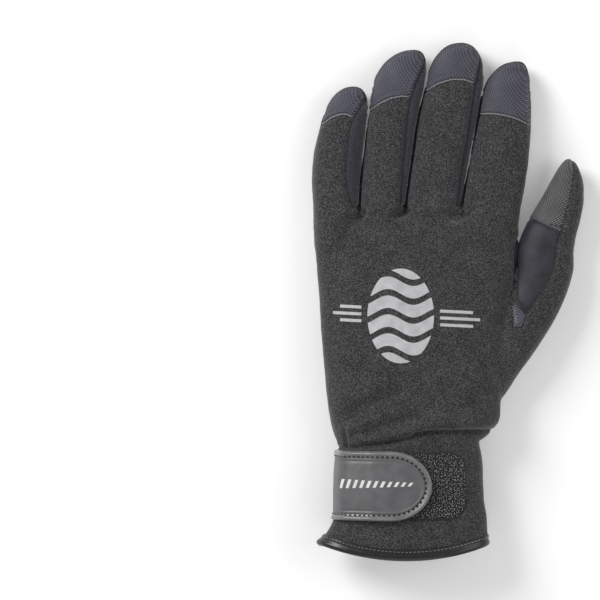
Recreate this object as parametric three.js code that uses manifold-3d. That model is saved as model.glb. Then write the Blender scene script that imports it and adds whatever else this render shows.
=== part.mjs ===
// Left-hand diving glove of thin neoprene with a twill palm, lying on its palm.
// Millimetres, +X to the thumb, +Y to the fingertips, +Z up. The origin is under the middle of the glove.
// Every piece is cut from one hollow shell along its seams, and a narrow gap stands for each seam.
import * as THREE from 'three';
import { mergeVertices } from 'three/addons/utils/BufferGeometryUtils.js';
import Module from 'manifold-3d';

// Hand
const HAND_WIDTH = 104;
const HAND_LENGTH = 109;
const HAND_THICKNESS = 31;

// Fingers, each measured from the line of the finger roots to its tip
const PINKY_LENGTH = 63;
const RING_LENGTH = 81.5;
const MIDDLE_LENGTH = 85;
const INDEX_LENGTH = 75.5;
const FINGER_THICKNESS = 20;
const FINGER_GAP = 0.9;
const TIP_ROUNDING = 24;
const TIP_DROP = 17;

// Thumb, measured from its root in the hand to its tip
const THUMB_LENGTH = 113.5;
const THUMB_WIDTH = 22;
const THUMB_THICKNESS = 21;

// Cuff
const CUFF_LENGTH = 64.5;
const CUFF_WIDTH = 74;
const CUFF_THICKNESS = 34;
const HEM_BOW = 7.5;
const HEM_ROUNDNESS = 1.75;
const HEM_SHIFT = -0.08;
const BINDING_WIDTH = 3;
const BINDING_PROUD = 0.5;

// Cloth
const WALL = 1.8;
const SEAM_GAP = 0.3;
const SEAM_OVERLAP = 1;
const SIDE_SEAM_HEIGHT = 10.5;
const SOLE_DIP = 0.9;
const PAD_SEAM_HEIGHT = 7.5;
const SIDEWALL_START = 0.035;
const ROOT_REACH = 0.02;
const SMALLEST_HALF = 0.2;

// Wrist strap and the hook-and-loop patch that it closes on
const STRAP_WIDTH = 34.5;
const STRAP_REACH = 47;
const STRAP_THICKNESS = 2.4;
const STRAP_DISTANCE = 10;
const WELT_WIDTH = 3.2;
const WELT_PROUD = 0.7;
const PATCH_LENGTH = 46;
const PATCH_WIDTH = 33.5;
const PATCH_THICKNESS = 1.2;
const PATCH_CORNER = 9;
const PATCH_INSET = 5.5;
const TIP_OVAL = 1.15;
const TIP_BLUNTNESS = 1;

// D-shaped ring and the webbing that holds it under the edge of the cuff
const RING_WIDTH = 18.5;
const RING_DEPTH = 13;
const RING_WIRE = 1.9;
const RING_CORNER = 0.9;
const BOW_START = 0.12;
const WEBBING_WIDTH = 8;
const WEBBING_LENGTH = 10;
const WEBBING_THICKNESS = 1;
const RING_PLACE = 0.33;
const RING_TUCK = 3;

// Mesh fineness
const FINGER_SIDES = 12;
const HAND_SIDES = 18;
const STEEPNESS = 2.3;
const HEM_STEPS = 10;
const ZONE_STEPS = 5;
const SHARPEST_CORNER = 0.4;
const ROUND_STEPS = 8;
const STRAP_STEPS = 10;
const CORNER_STEPS = 4;
const BOW_STEPS = 12;
const WIRE_SIDES = 6;
const FAR = 400;

// Heights of the finger sections: shares of the length from the root, then of TIP_ROUNDING from the tip.
const SHAFT_PLACES = [-0.3, 0, 0.2, 0.45];
const ROOT_START = -0.2;
const NOSE_PLACES = [0.75, 0.42, 0.18, 0.06, 0.006];
const PAST_TIP = 1.2;

// Lines between the fingers and along the outer edges: shares of HAND_WIDTH at shares of MIDDLE_LENGTH.
const FINGER_EDGES = [
  { along: -0.4, pinkySide: -0.480, pinkyRing: -0.290, ringMid: -0.070, midIndex: 0.190, indexSide: 0.470 },
  { along: 0.0, pinkySide: -0.500, pinkyRing: -0.279, ringMid: -0.058, midIndex: 0.212, indexSide: 0.498 },
  { along: 0.31, pinkySide: -0.500, pinkyRing: -0.260, ringMid: -0.024, midIndex: 0.255, indexSide: 0.538 },
  { along: 0.55, pinkySide: -0.455, pinkyRing: -0.236, ringMid: 0.005, midIndex: 0.293, indexSide: 0.549 },
  { along: 0.74, pinkySide: -0.410, pinkyRing: -0.215, ringMid: 0.040, midIndex: 0.318, indexSide: 0.552 },
  { along: 1.0, pinkySide: -0.375, pinkyRing: -0.165, ringMid: 0.080, midIndex: 0.332, indexSide: 0.540 },
];

// Fingers: pull moves the tip to the thumb side, blunt is a share of TIP_ROUNDING, the cap, pad and
// insert seams are shares of the length back from the tip, padInner and padOuter of the half width.
const FINGERS = [
  {
    name: 'pinky', length: PINKY_LENGTH, left: 'pinkySide', right: 'pinkyRing', pull: 0.15, blunt: 0.75,
    capLeft: 0.31, capMiddle: 0.23, capRight: 0.26, padStart: 0.035, padEnd: 0.47, insertEnd: 0.64,
    padInner: -0.9, padOuter: 0.72,
    strip: [0.78, 0.42, 0.32, 0.36, 1.15],
  },
  {
    name: 'ring', length: RING_LENGTH, left: 'pinkyRing', right: 'ringMid', pull: 0.35, blunt: 0.9,
    capLeft: 0.38, capMiddle: 0.307, capRight: 0.30, padStart: 0.092, padEnd: 0.423, insertEnd: 0.712,
    padInner: -0.74, padOuter: 0.56,
    strip: [0.8, 0.7, 0.62, 0.58, 0.95],
  },
  {
    name: 'middle', length: MIDDLE_LENGTH, left: 'ringMid', right: 'midIndex', pull: 0.05, blunt: 0.75,
    capLeft: 0.29, capMiddle: 0.225, capRight: 0.25, padStart: 0.096, padEnd: 0.485, insertEnd: 0.719,
    padInner: -0.78, padOuter: 0.56,
    strip: [0.84, 0.79, 0.77, 0.74, 0.92],
  },
  {
    name: 'index', length: INDEX_LENGTH, left: 'midIndex', right: 'indexSide', pull: 0.6, blunt: 0.85,
    capLeft: 0.353, capMiddle: 0.367, capRight: 0.43, padStart: 0.04, padEnd: 0.473, insertEnd: 0.68,
    padInner: -0.8, padOuter: 0.78,
    strip: [1.3, 1.3, 1.3, 1.3, 1.3],
  },
];
const STRIP_PLACES = [0, 0.22, 0.48, 0.74, 1];
const PAD_ROUNDING = 0.55;
const PAD_DRIFT = 0.35;

// Cross-sections of the fingers: shares of the length and of FINGER_THICKNESS.
const FINGER_HEIGHTS = [
  { along: -0.4, high: 1.10 },
  { along: 0.0, high: 1.10 },
  { along: 0.3, high: 1.00 },
  { along: 0.5, high: 1.03 },
  { along: 0.75, high: 0.95 },
  { along: 1.0, high: 0.84 },
];

// Cross-sections of the hand: shares of HAND_LENGTH, HAND_WIDTH and HAND_THICKNESS.
const HAND_SECTIONS = [
  { along: -0.055, left: -0.375, right: 0.262, low: 0.20, high: 0.80 },
  { along: -0.030, left: -0.392, right: 0.318, low: 0.05, high: 0.95 },
  { along: 0.000, left: -0.401, right: 0.355, low: -0.02, high: 1.02 },
  { along: 0.040, left: -0.410, right: 0.382, low: -0.03, high: 1.05 },
  { along: 0.160, left: -0.430, right: 0.400, low: -0.03, high: 1.03 },
  { along: 0.440, left: -0.456, right: 0.449, low: -0.03, high: 0.98 },
  { along: 0.740, left: -0.477, right: 0.477, low: -0.03, high: 0.89 },
  { along: 0.920, left: -0.492, right: 0.490, low: -0.03, high: 0.75 },
  { along: 0.975, left: -0.486, right: 0.486, low: 0.04, high: 0.63 },
  { along: 1.000, left: -0.472, right: 0.472, low: 0.12, high: 0.52 },
  { along: 1.015, left: -0.445, right: 0.445, low: 0.20, high: 0.43 },
];

// Height of the webbing loop, and how far the underside of the cuff lifts over it.
const LOOP_RADIUS = RING_WIRE / 2 + SEAM_GAP + WEBBING_THICKNESS;
const HEM_LIFT = 2 * LOOP_RADIUS + SEAM_GAP + BINDING_PROUD;

// Cross-sections of the cuff from inside the hand to the hem: shares of CUFF_LENGTH, CUFF_WIDTH,
// HEM_LIFT and CUFF_THICKNESS. The little-finger side runs out to a point.
const CUFF_SECTIONS = [
  { along: -0.22, left: -0.490, right: 0.390, lift: 0.20, high: 0.90 },
  { along: 0.00, left: -0.530, right: 0.400, lift: -0.13, high: 0.92 },
  { along: 0.25, left: -0.540, right: 0.438, lift: -0.13, high: 0.95 },
  { along: 0.45, left: -0.545, right: 0.441, lift: 0.18, high: 0.98 },
  { along: 0.58, left: -0.547, right: 0.447, lift: 0.66, high: 0.99 },
  { along: 0.70, left: -0.560, right: 0.462, lift: 0.92, high: 1.00 },
  { along: 0.83, left: -0.625, right: 0.467, lift: 1.00, high: 1.00 },
  { along: 0.90, left: -0.680, right: 0.466, lift: 1.00, high: 0.99 },
  { along: 1.12, left: -0.700, right: 0.462, lift: 1.00, high: 0.98 },
];

// Cross-sections of the thumb: shares of THUMB_LENGTH along it and sideways from its root, then of
// THUMB_WIDTH and THUMB_THICKNESS.
const THUMB_ROOT_ALONG = 0.211;
const THUMB_ROOT_ACROSS = 0.332;
const THUMB_SECTIONS = [
  { along: -0.070, centre: -0.040, wide: 1.00, low: 0.10, high: 0.95 },
  { along: -0.020, centre: -0.014, wide: 1.14, low: -0.01, high: 1.03 },
  { along: 0.035, centre: 0.004, wide: 1.32, low: -0.02, high: 1.06 },
  { along: 0.154, centre: 0.079, wide: 1.45, low: -0.04, high: 1.12 },
  { along: 0.330, centre: 0.187, wide: 1.39, low: -0.04, high: 1.10 },
  { along: 0.502, centre: 0.256, wide: 1.32, low: -0.04, high: 1.05 },
  { along: 0.595, centre: 0.263, wide: 1.28, low: -0.04, high: 1.02 },
  { along: 0.674, centre: 0.284, wide: 1.20, low: -0.04, high: 1.00 },
  { along: 0.744, centre: 0.311, wide: 1.11, low: -0.03, high: 0.98 },
  { along: 0.815, centre: 0.339, wide: 0.95, low: 0.00, high: 0.94 },
  { along: 0.885, centre: 0.358, wide: 0.75, low: 0.05, high: 0.88 },
  { along: 0.945, centre: 0.367, wide: 0.50, low: 0.13, high: 0.78 },
  { along: 0.985, centre: 0.370, wide: 0.24, low: 0.25, high: 0.64 },
  { along: 1.000, centre: 0.370, wide: 0.07, low: 0.38, high: 0.50 },
];

// Seam of the thumb pad and gusset: share of the half width at shares of THUMB_LENGTH, on the upper
// side and on the underside.
const THUMB_SEAM = [
  { along: 0.30, upper: -0.05, under: -0.55 },
  { along: 0.42, upper: 0.16, under: -0.50 },
  { along: 0.52, upper: 0.30, under: -0.42 },
  { along: 0.66, upper: 0.38, under: -0.36 },
  { along: 0.80, upper: 0.27, under: -0.34 },
  { along: 0.94, upper: 0.26, under: -0.30 },
  { along: 1.03, upper: 0.10, under: -0.10 },
];
const THUMB_PAD = { start: 0.67, edge: 0.74, past: 1.1, side: -1.2 };
const GUSSET = { start: 0.305, underStart: 0.52, overlap: 0.03, crotch: 0.62, side: -1.3 };

// Seam lines on the hand: shares of HAND_WIDTH across and of HAND_LENGTH up from the wrist.
const WRIST_FOLD = [
  { across: -0.60, up: -0.095 },
  { across: -0.22, up: -0.070 },
  { across: -0.04, up: -0.035 },
  { across: 0.05, up: -0.008 },
  { across: 0.60, up: -0.004 },
];
const PALM_HEEL = [
  { across: -0.60, up: 0.530 },
  { across: -0.43, up: 0.500 },
];
const WRIST_SIDE = [
  { across: 0.34, up: 0.000 },
  { across: 0.60, up: -0.030 },
];

// Curved edge of the palm at the thumb: shares of HAND_WIDTH across and of THUMB_LENGTH up from its root.
const PALM_CURVE = [
  { across: 0.110, along: 0.128 },
  { across: 0.158, along: 0.286 },
  { across: 0.245, along: 0.361 },
  { across: 0.355, along: 0.405 },
  { across: 0.440, along: 0.426 },
];

// Seam between the stretch panel and the outer side of the thumb, and the foot of the panel in the
// crotch: shares of THUMB_LENGTH along and of the thumb's half width across.
const GUSSET_SEAM = [
  { along: -0.03, across: -0.40 },
  { along: 0.145, across: -0.66 },
  { along: 0.250, across: -0.75 },
  { along: 0.361, across: -0.72 },
  { along: 0.463, across: -0.50 },
];
const GUSSET_CROTCH = { along: 0.62, across: -1.12 };
const GUSSET_FOOT = { along: 0.374, across: -0.60 };
const THUMB_PATCH = [
  { along: 0.366, across: -0.67 },
  { along: 0.250, across: -0.18 },
  { along: 0.250, across: 0.09 },
  { along: 0.298, across: 0.00 },
];

const NEOPRENE = { color: 0x3a3a3b, roughness: 0.92, metalness: 0 };
const CAP_TWILL = { color: 0x4b4b55, roughness: 0.85, metalness: 0 };
const PALM_TWILL = { color: 0x747477, roughness: 0.8, metalness: 0 };
const STRETCH = { color: 0x34343f, roughness: 0.75, metalness: 0 };
const GUSSET_STRETCH = { color: 0x4a4044, roughness: 0.9, metalness: 0 };
const STRAP_RUBBER = { color: 0x5a5a5b, roughness: 0.55, metalness: 0 };
const WELT_RUBBER = { color: 0x2a2a2b, roughness: 0.3, metalness: 0 };
const HOOK_TAPE = { color: 0x202021, roughness: 0.95, metalness: 0 };
const BINDING_TAPE = { color: 0x161617, roughness: 0.6, metalness: 0 };
const WEBBING = { color: 0x1b1b1c, roughness: 0.85, metalness: 0 };
const COATED_STEEL = { color: 0x1d1d1f, roughness: 0.35, metalness: 0.6 };

const wasm = await Module();
wasm.setup();

// Turns closed triangles into a solid.
function solidFrom(geometry) {
  const bare = geometry.clone();
  bare.deleteAttribute('normal');
  bare.deleteAttribute('uv');
  const merged = mergeVertices(bare, 1e-5);
  const vertProperties = Float32Array.from(merged.attributes.position.array);
  const triVerts = Uint32Array.from(merged.index.array);
  return new wasm.Manifold(new wasm.Mesh({ numProp: 3, vertProperties, triVerts }));
}

// Gives the triangles of a solid back as a geometry.
function geometryOf(solid) {
  const mesh = solid.getMesh();
  const geometry = new THREE.BufferGeometry();
  geometry.setAttribute('position', new THREE.BufferAttribute(Float32Array.from(mesh.vertProperties), 3));
  geometry.setIndex(Array.from(mesh.triVerts));
  return geometry;
}

// Largest body of a solid, which drops the slivers that a seam cut leaves.
function mainBody(solid) {
  const bodies = solid.decompose();
  return bodies.reduce((best, body) => (body.volume() > best.volume() ? body : best));
}

// Reads one column of a table at a place between its rows, smoothly.
function readTable(rows, column, along) {
  const last = rows.length - 1;
  let index = 0;
  while (index < last - 1 && along > rows[index + 1].along) index += 1;
  const start = rows[index];
  const end = rows[index + 1];
  const span = end.along - start.along;
  const slope = (low, high) => (high[column] - low[column]) / (high.along - low.along);
  const slopeIn = index > 0 ? (slope(rows[index - 1], start) + slope(start, end)) / 2 : slope(start, end);
  const beyond = rows[Math.min(index + 2, last)];
  const slopeOut = index < last - 1 ? (slope(start, end) + slope(end, beyond)) / 2 : slope(start, end);
  const at = THREE.MathUtils.clamp((along - start.along) / span, 0, 1);
  const bend = at * at * (3 - 2 * at);
  const rise = at * (1 - at) * (1 - at) * span * slopeIn;
  const fall = at * at * (1 - at) * span * slopeOut;
  return start[column] + (end[column] - start[column]) * bend + rise - fall;
}

// Share of full width at a distance from a blunt rounded end.
function rounded(distance, reach) {
  if (distance >= reach) return 1;
  const rest = 1 - Math.max(distance, 0) / reach;
  return (1 - rest ** STEEPNESS) ** (1 / STEEPNESS);
}

// Closed skin through cross-sections that each stand across the glove at a height y.
function loft(sections, sides) {
  const points = [];
  for (const section of sections) {
    const middle = (section.left + section.right) / 2;
    const half = (section.right - section.left) / 2;
    const centre = (section.low + section.high) / 2;
    const rise = (section.high - section.low) / 2;
    for (let side = 0; side < sides; side += 1) {
      const angle = (2 * Math.PI * side) / sides;
      const across = Math.sign(Math.cos(angle)) * Math.abs(Math.cos(angle)) ** (2 / STEEPNESS);
      const up = Math.sign(Math.sin(angle)) * Math.abs(Math.sin(angle)) ** (2 / STEEPNESS);
      points.push(middle + half * across, section.y, centre + rise * up);
    }
  }
  const triangles = [];
  const count = sections.length;
  for (let row = 0; row < count - 1; row += 1) {
    for (let side = 0; side < sides; side += 1) {
      const next = (side + 1) % sides;
      const a = row * sides + side;
      const b = row * sides + next;
      const c = a + sides;
      const d = b + sides;
      triangles.push(a, c, b, b, c, d);
    }
  }
  for (let side = 1; side < sides - 1; side += 1) {
    const top = (count - 1) * sides;
    triangles.push(0, side, side + 1, top, top + side + 1, top + side);
  }
  const geometry = new THREE.BufferGeometry();
  geometry.setAttribute('position', new THREE.Float32BufferAttribute(points, 3));
  geometry.setIndex(triangles);
  return solidFrom(geometry);
}

// Upright block with a plan outline, between two heights.
function block(outline, low, high) {
  const shape = new THREE.Shape(outline.map(([x, y]) => new THREE.Vector2(x, y)));
  const geometry = new THREE.ExtrudeGeometry(shape, { depth: high - low, bevelEnabled: false });
  geometry.translate(0, 0, low);
  return solidFrom(geometry);
}

// Removes what lies below a height.
function above(solid, height) {
  const outline = [[-FAR, -FAR], [FAR, -FAR], [FAR, FAR], [-FAR, FAR]];
  return solid.subtract(block(outline, -FAR, height));
}

// Plan place on the hand from shares of its width and length.
function handPlace(row) {
  return [row.across * HAND_WIDTH, row.up * HAND_LENGTH];
}

function edgeAt(column, y) {
  return HAND_WIDTH * readTable(FINGER_EDGES, column, (y - HAND_LENGTH) / MIDDLE_LENGTH);
}

// Plan place on a finger, from a share of its length and a share of its half width.
function fingerPlace(finger, along, across) {
  const y = HAND_LENGTH + along * finger.length;
  const left = edgeAt(finger.left, y);
  const right = edgeAt(finger.right, y);
  return [(left + right) / 2 + (across * (right - left)) / 2, y];
}

// Cross-sections of a finger, drawn in by an inset for the hollow.
function fingerSections(finger, inset) {
  const tip = HAND_LENGTH + finger.length - inset;
  const shaft = SHAFT_PLACES.map((share) => HAND_LENGTH + share * finger.length);
  const rounding = TIP_ROUNDING * finger.blunt;
  const nose = NOSE_PLACES.map((share) => tip - share * rounding);
  return [...shaft, ...nose].map((y) => {
    const left = edgeAt(finger.left, y) + FINGER_GAP / 2 + inset;
    const right = edgeAt(finger.right, y) - FINGER_GAP / 2 - inset;
    const taper = rounded(tip - y, rounding);
    const half = ((right - left) / 2) * taper;
    const middle = (left + right) / 2 + finger.pull * (1 - taper) * ((right - left) / 2);
    const along = (y - HAND_LENGTH) / finger.length;
    const high = FINGER_THICKNESS * readTable(FINGER_HEIGHTS, 'high', along) - inset;
    const low = inset - SOLE_DIP;
    const drop = rounded(tip - y, TIP_DROP);
    const centre = (low + high) / 2;
    const rise = ((high - low) / 2) * drop;
    return { y, left: middle - half, right: middle + half, low: centre - rise, high: centre + rise };
  });
}

function handSections(inset) {
  return HAND_SECTIONS.map((row) => ({
    y: row.along * HAND_LENGTH - (row.along > 0.9 ? inset : 0),
    left: row.left * HAND_WIDTH + inset,
    right: row.right * HAND_WIDTH - inset,
    low: row.low * HAND_THICKNESS + inset,
    high: row.high * HAND_THICKNESS - inset,
  }));
}

function cuffSections(inset) {
  return CUFF_SECTIONS.map((row) => ({
    y: -row.along * CUFF_LENGTH,
    left: row.left * CUFF_WIDTH + inset,
    right: row.right * CUFF_WIDTH - inset,
    low: row.lift * HEM_LIFT + inset,
    high: row.high * CUFF_THICKNESS - inset,
  })).reverse();
}

// Plan place on the thumb, from a share of its length and a share of its half width.
function thumbPlace(along, across) {
  const centre = readTable(THUMB_SECTIONS, 'centre', Math.min(along, 1));
  const wide = readTable(THUMB_SECTIONS, 'wide', Math.min(along, 0.9));
  const x = THUMB_ROOT_ACROSS * HAND_WIDTH + centre * THUMB_LENGTH + (across * wide * THUMB_WIDTH) / 2;
  return [x, THUMB_ROOT_ALONG * HAND_LENGTH + along * THUMB_LENGTH];
}

function thumbSections(inset) {
  return THUMB_SECTIONS.map((row) => {
    const middle = THUMB_ROOT_ACROSS * HAND_WIDTH + row.centre * THUMB_LENGTH;
    const half = Math.max((row.wide * THUMB_WIDTH) / 2 - inset, SMALLEST_HALF);
    const low = row.low * THUMB_THICKNESS + inset;
    const high = row.high * THUMB_THICKNESS - inset;
    const centre = (low + high) / 2;
    const rise = Math.max((high - low) / 2, SMALLEST_HALF);
    const y = THUMB_ROOT_ALONG * HAND_LENGTH + row.along * (THUMB_LENGTH - inset);
    return { y, left: middle - half, right: middle + half, low: centre - rise, high: centre + rise };
  });
}

// The whole glove as a solid body, drawn in by an inset.
function gloveBody(inset) {
  let body = loft(handSections(inset), HAND_SIDES);
  body = body.add(loft(cuffSections(inset), HAND_SIDES));
  body = body.add(loft(thumbSections(inset), FINGER_SIDES));
  for (const finger of FINGERS) body = body.add(loft(fingerSections(finger, inset), FINGER_SIDES));
  return above(body, inset);
}

// Plan of the hem: an arc that runs lowest in the middle of the cuff, with a distance up from it.
function hemLine(up) {
  return Array.from({ length: HEM_STEPS + 1 }, (unused, step) => {
    const share = (2 * step) / HEM_STEPS - 1;
    const bow = HEM_BOW * Math.min(1, (share * HEM_ROUNDNESS) ** 2);
    return [(share + HEM_SHIFT) * CUFF_WIDTH, -CUFF_LENGTH + bow + up];
  });
}

// Plan outline of all that lies below a line.
function belowLine(line) {
  return [[line[0][0], -FAR], [line.at(-1)[0], -FAR], ...line.toReversed()];
}

// Everything below the hem, or below a line that runs a distance up from it.
function belowHem(up) {
  return block(belowLine(hemLine(up)), -FAR, FAR);
}

// Zone of a finger between seams across it and along it, each seam a function of a share.
function fingerZone(finger, seams, low, high) {
  const side = (edge, sign) => Array.from({ length: ZONE_STEPS + 1 }, (unused, step) => {
    const along = seams.start(sign) + ((seams.end(sign) - seams.start(sign)) * step) / ZONE_STEPS;
    return fingerPlace(finger, along, edge(along));
  });
  const middle = (along) => fingerPlace(finger, along, (seams.inner(along) + seams.outer(along)) / 2);
  const outer = side(seams.outer, 1);
  const inner = side(seams.inner, -1).toReversed();
  return [{ outline: [middle(seams.start(0)), ...outer, middle(seams.end(0)), ...inner], low, high }];
}

function stripSeam(finger, along) {
  const rows = STRIP_PLACES.map((place, index) => ({ along: place, seam: finger.strip[index] }));
  return readTable(rows, 'seam', along);
}

function capZone(finger) {
  const seams = {
    start: (sign) => 1 - [finger.capLeft, finger.capMiddle, finger.capRight][sign + 1],
    end: () => PAST_TIP,
    inner: () => -1,
    outer: (along) => Math.min(1, stripSeam(finger, along)),
  };
  return fingerZone(finger, seams, SIDE_SEAM_HEIGHT, FAR);
}

// The pad under a fingertip has a round front end.
function padZone(finger) {
  const middle = (finger.padInner + finger.padOuter) / 2;
  const reach = (finger.padOuter - finger.padInner) / 2;
  const back = 1 - finger.padEnd;
  const front = 1 - finger.padStart;
  const round = PAD_ROUNDING * (front - back);
  const outline = [fingerPlace(finger, back, middle + reach)];
  for (let step = 0; step <= ROUND_STEPS; step += 1) {
    const angle = (Math.PI * step) / ROUND_STEPS;
    const along = front - round + round * Math.sin(angle);
    const drift = PAD_DRIFT * finger.pull * Math.sin(angle);
    outline.push(fingerPlace(finger, along, middle + drift + reach * Math.cos(angle)));
  }
  outline.push(fingerPlace(finger, back, middle - reach));
  return [{ outline, low: -FAR, high: PAD_SEAM_HEIGHT }];
}

function underZone(finger, start, end) {
  const seams = {
    start: () => start,
    end: () => end,
    inner: () => finger.padInner,
    outer: () => finger.padOuter,
  };
  return fingerZone(finger, seams, -FAR, PAD_SEAM_HEIGHT);
}

// Side band of a finger below its side seam, with the strip beside the back seam on its outer side.
function sidewallZone(finger) {
  const ring = { start: () => SIDEWALL_START, end: () => PAST_TIP, inner: () => -1, outer: () => 1 };
  const strip = { ...ring, inner: (along) => Math.min(0.99, stripSeam(finger, along)) };
  const lower = fingerZone(finger, ring, -FAR, SIDE_SEAM_HEIGHT);
  return [...lower, ...fingerZone(finger, strip, SIDE_SEAM_HEIGHT - SEAM_OVERLAP, FAR)];
}

function curvePlaces() {
  return PALM_CURVE.map((row) => [
    row.across * HAND_WIDTH,
    THUMB_ROOT_ALONG * HAND_LENGTH + row.along * THUMB_LENGTH,
  ]);
}

function gussetPlaces() {
  return GUSSET_SEAM.map((row) => thumbPlace(row.along, row.across));
}

// Edge of the cuff across the heel of the palm.
function heelLine() {
  return [...PALM_HEEL.map(handPlace), curvePlaces()[0], gussetPlaces()[0], ...WRIST_SIDE.map(handPlace)];
}

// Row of plan places along a seam of the thumb.
function thumbSeam(column, from, to) {
  return Array.from({ length: ROUND_STEPS + 1 }, (unused, step) => {
    const along = from + ((to - from) * step) / ROUND_STEPS;
    return thumbPlace(along, readTable(THUMB_SEAM, column, along));
  });
}

// Pad of the thumb: it wraps round the side that faces the fingers.
function thumbPadZone() {
  const rim = [thumbPlace(THUMB_PAD.past, THUMB_PAD.side), thumbPlace(THUMB_PAD.edge, THUMB_PAD.side)];
  const seam = (column) => [...thumbSeam(column, THUMB_PAD.start, THUMB_PAD.past), ...rim];
  const middle = THUMB_THICKNESS / 2;
  return [
    { outline: seam('upper'), low: middle - SEAM_OVERLAP, high: FAR },
    { outline: seam('under'), low: -FAR, high: middle },
  ];
}

// Stretch panel of the thumb: its upper part ends where the thumb meets the side of the hand, and its
// lower part runs on to the edge of the palm.
function gussetZone() {
  const end = THUMB_PAD.start + GUSSET.overlap;
  const rimEnd = thumbPlace(THUMB_PAD.edge + GUSSET.overlap, GUSSET.side);
  const rim = [rimEnd, thumbPlace(GUSSET.crotch, GUSSET.side)];
  const crotch = [GUSSET_CROTCH, GUSSET_FOOT].map((row) => thumbPlace(row.along, row.across));
  const upper = [...thumbSeam('upper', GUSSET.start, end), ...rim, ...crotch];
  const edge = curvePlaces().toReversed();
  const seam = [...gussetPlaces(), ...thumbSeam('under', GUSSET.underStart, end)];
  const under = [...edge, ...seam, ...rim, crotch[0]];
  const middle = THUMB_THICKNESS / 2;
  return [
    { outline: upper, low: middle - SEAM_OVERLAP, high: FAR },
    { outline: under, low: -FAR, high: middle },
  ];
}

function patchZone() {
  const outline = THUMB_PATCH.map((row) => thumbPlace(row.along, row.across));
  return [{ outline, low: SIDE_SEAM_HEIGHT + SEAM_OVERLAP, high: FAR }];
}

function palmZone() {
  const heel = PALM_HEEL.map(handPlace);
  const curve = curvePlaces();
  const top = HAND_LENGTH * (1 + ROOT_REACH);
  const rim = [[FAR, curve.at(-1)[1]], [FAR, top], [-FAR, top], [-FAR, heel[0][1]]];
  const roots = FINGERS.flatMap((finger) => underZone(finger, ROOT_START, 1 - finger.insertEnd));
  return [{ outline: [...heel, ...curve, ...rim], low: -FAR, high: SIDE_SEAM_HEIGHT }, ...roots];
}

function cuffZone() {
  return [
    { outline: belowLine(WRIST_FOLD.map(handPlace)), low: SIDE_SEAM_HEIGHT - SEAM_OVERLAP, high: FAR },
    { outline: belowLine(heelLine()), low: -FAR, high: SIDE_SEAM_HEIGHT },
  ];
}

// Plan outline moved outwards by a distance, its corners kept sharp.
function spread(outline, distance) {
  const places = outline.map(([x, y]) => new THREE.Vector2(x, y));
  const turn = THREE.ShapeUtils.isClockWise(places) ? -1 : 1;
  return places.map((place, index) => {
    const before = place.clone().sub(places.at(index - 1)).normalize();
    const after = places[(index + 1) % places.length].clone().sub(place).normalize();
    const out = new THREE.Vector2(before.y + after.y, -before.x - after.x);
    const reach = (turn * distance) / Math.max(1 + before.dot(after), SHARPEST_CORNER);
    return [place.x + out.x * reach, place.y + out.y * reach];
  });
}

// Solid of a zone, which is a list of plan outlines between two heights, with a margin all round.
function zoneSolid(zone, margin) {
  const grown = ({ outline, low, high }) => block(spread(outline, margin), low - margin, high + margin);
  return zone.map(grown).reduce((sum, part) => sum.add(part));
}

// Layer over the cuff between two distances from its surface, on the upper side only.
function cuffLayer(from, to) {
  const outer = loft(cuffSections(-to), HAND_SIDES);
  return above(outer.subtract(loft(cuffSections(-from), HAND_SIDES)), SIDE_SEAM_HEIGHT);
}

// Strap outline in plan: square at the seam and round at the free end.
function strapOutline(inset) {
  const top = -STRAP_DISTANCE - inset;
  const bottom = -STRAP_DISTANCE - STRAP_WIDTH + inset;
  const radius = (top - bottom) / 2;
  const centre = CUFF_WIDTH * CUFF_SECTIONS[4].left + STRAP_REACH - inset - radius * TIP_OVAL;
  const outline = [[-FAR, bottom]];
  for (let step = 0; step <= STRAP_STEPS; step += 1) {
    const angle = -Math.PI / 2 + (Math.PI * step) / STRAP_STEPS;
    const along = radius * TIP_OVAL * Math.cos(angle) ** TIP_BLUNTNESS;
    const round = Math.sign(Math.sin(angle)) * Math.abs(Math.sin(angle)) ** TIP_BLUNTNESS;
    outline.push([centre + along, (top + bottom) / 2 + radius * round]);
  }
  outline.push([-FAR, top]);
  return outline;
}

function patchOutline(grow) {
  const start = CUFF_WIDTH * CUFF_SECTIONS[4].left + STRAP_REACH - PATCH_LENGTH / 2 - PATCH_INSET - grow;
  const end = start + PATCH_LENGTH + 2 * grow;
  const middle = -STRAP_DISTANCE - STRAP_WIDTH / 2;
  const half = PATCH_WIDTH / 2 + grow;
  const outline = [[start, middle + half], [start, middle - half]];
  for (const sign of [-1, 1]) {
    for (let step = 0; step <= CORNER_STEPS; step += 1) {
      const share = step / CORNER_STEPS;
      const angle = (Math.PI / 2) * (sign < 0 ? 1 - share : share);
      const x = end - PATCH_CORNER + PATCH_CORNER * Math.cos(angle);
      outline.push([x, middle + sign * (half - PATCH_CORNER + PATCH_CORNER * Math.sin(angle))]);
    }
  }
  return outline;
}

// Closed bar of round section that follows a loop of points in the plane z = 0.
function bentBar(loop, radius, sides) {
  const points = [];
  const triangles = [];
  const count = loop.length;
  loop.forEach((place, index) => {
    const before = loop[(index + count - 1) % count];
    const after = loop[(index + 1) % count];
    const along = new THREE.Vector2(after[0] - before[0], after[1] - before[1]).normalize();
    for (let side = 0; side < sides; side += 1) {
      const angle = (2 * Math.PI * side) / sides;
      const out = radius * Math.cos(angle);
      points.push(place[0] + along.y * out, place[1] - along.x * out, radius * Math.sin(angle));
      const next = (index + 1) % count;
      const a = index * sides + side;
      const b = index * sides + ((side + 1) % sides);
      const c = next * sides + side;
      const d = next * sides + ((side + 1) % sides);
      triangles.push(a, c, b, b, c, d);
    }
  });
  const geometry = new THREE.BufferGeometry();
  geometry.setAttribute('position', new THREE.Float32BufferAttribute(points, 3));
  geometry.setIndex(triangles);
  return solidFrom(geometry);
}

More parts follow.
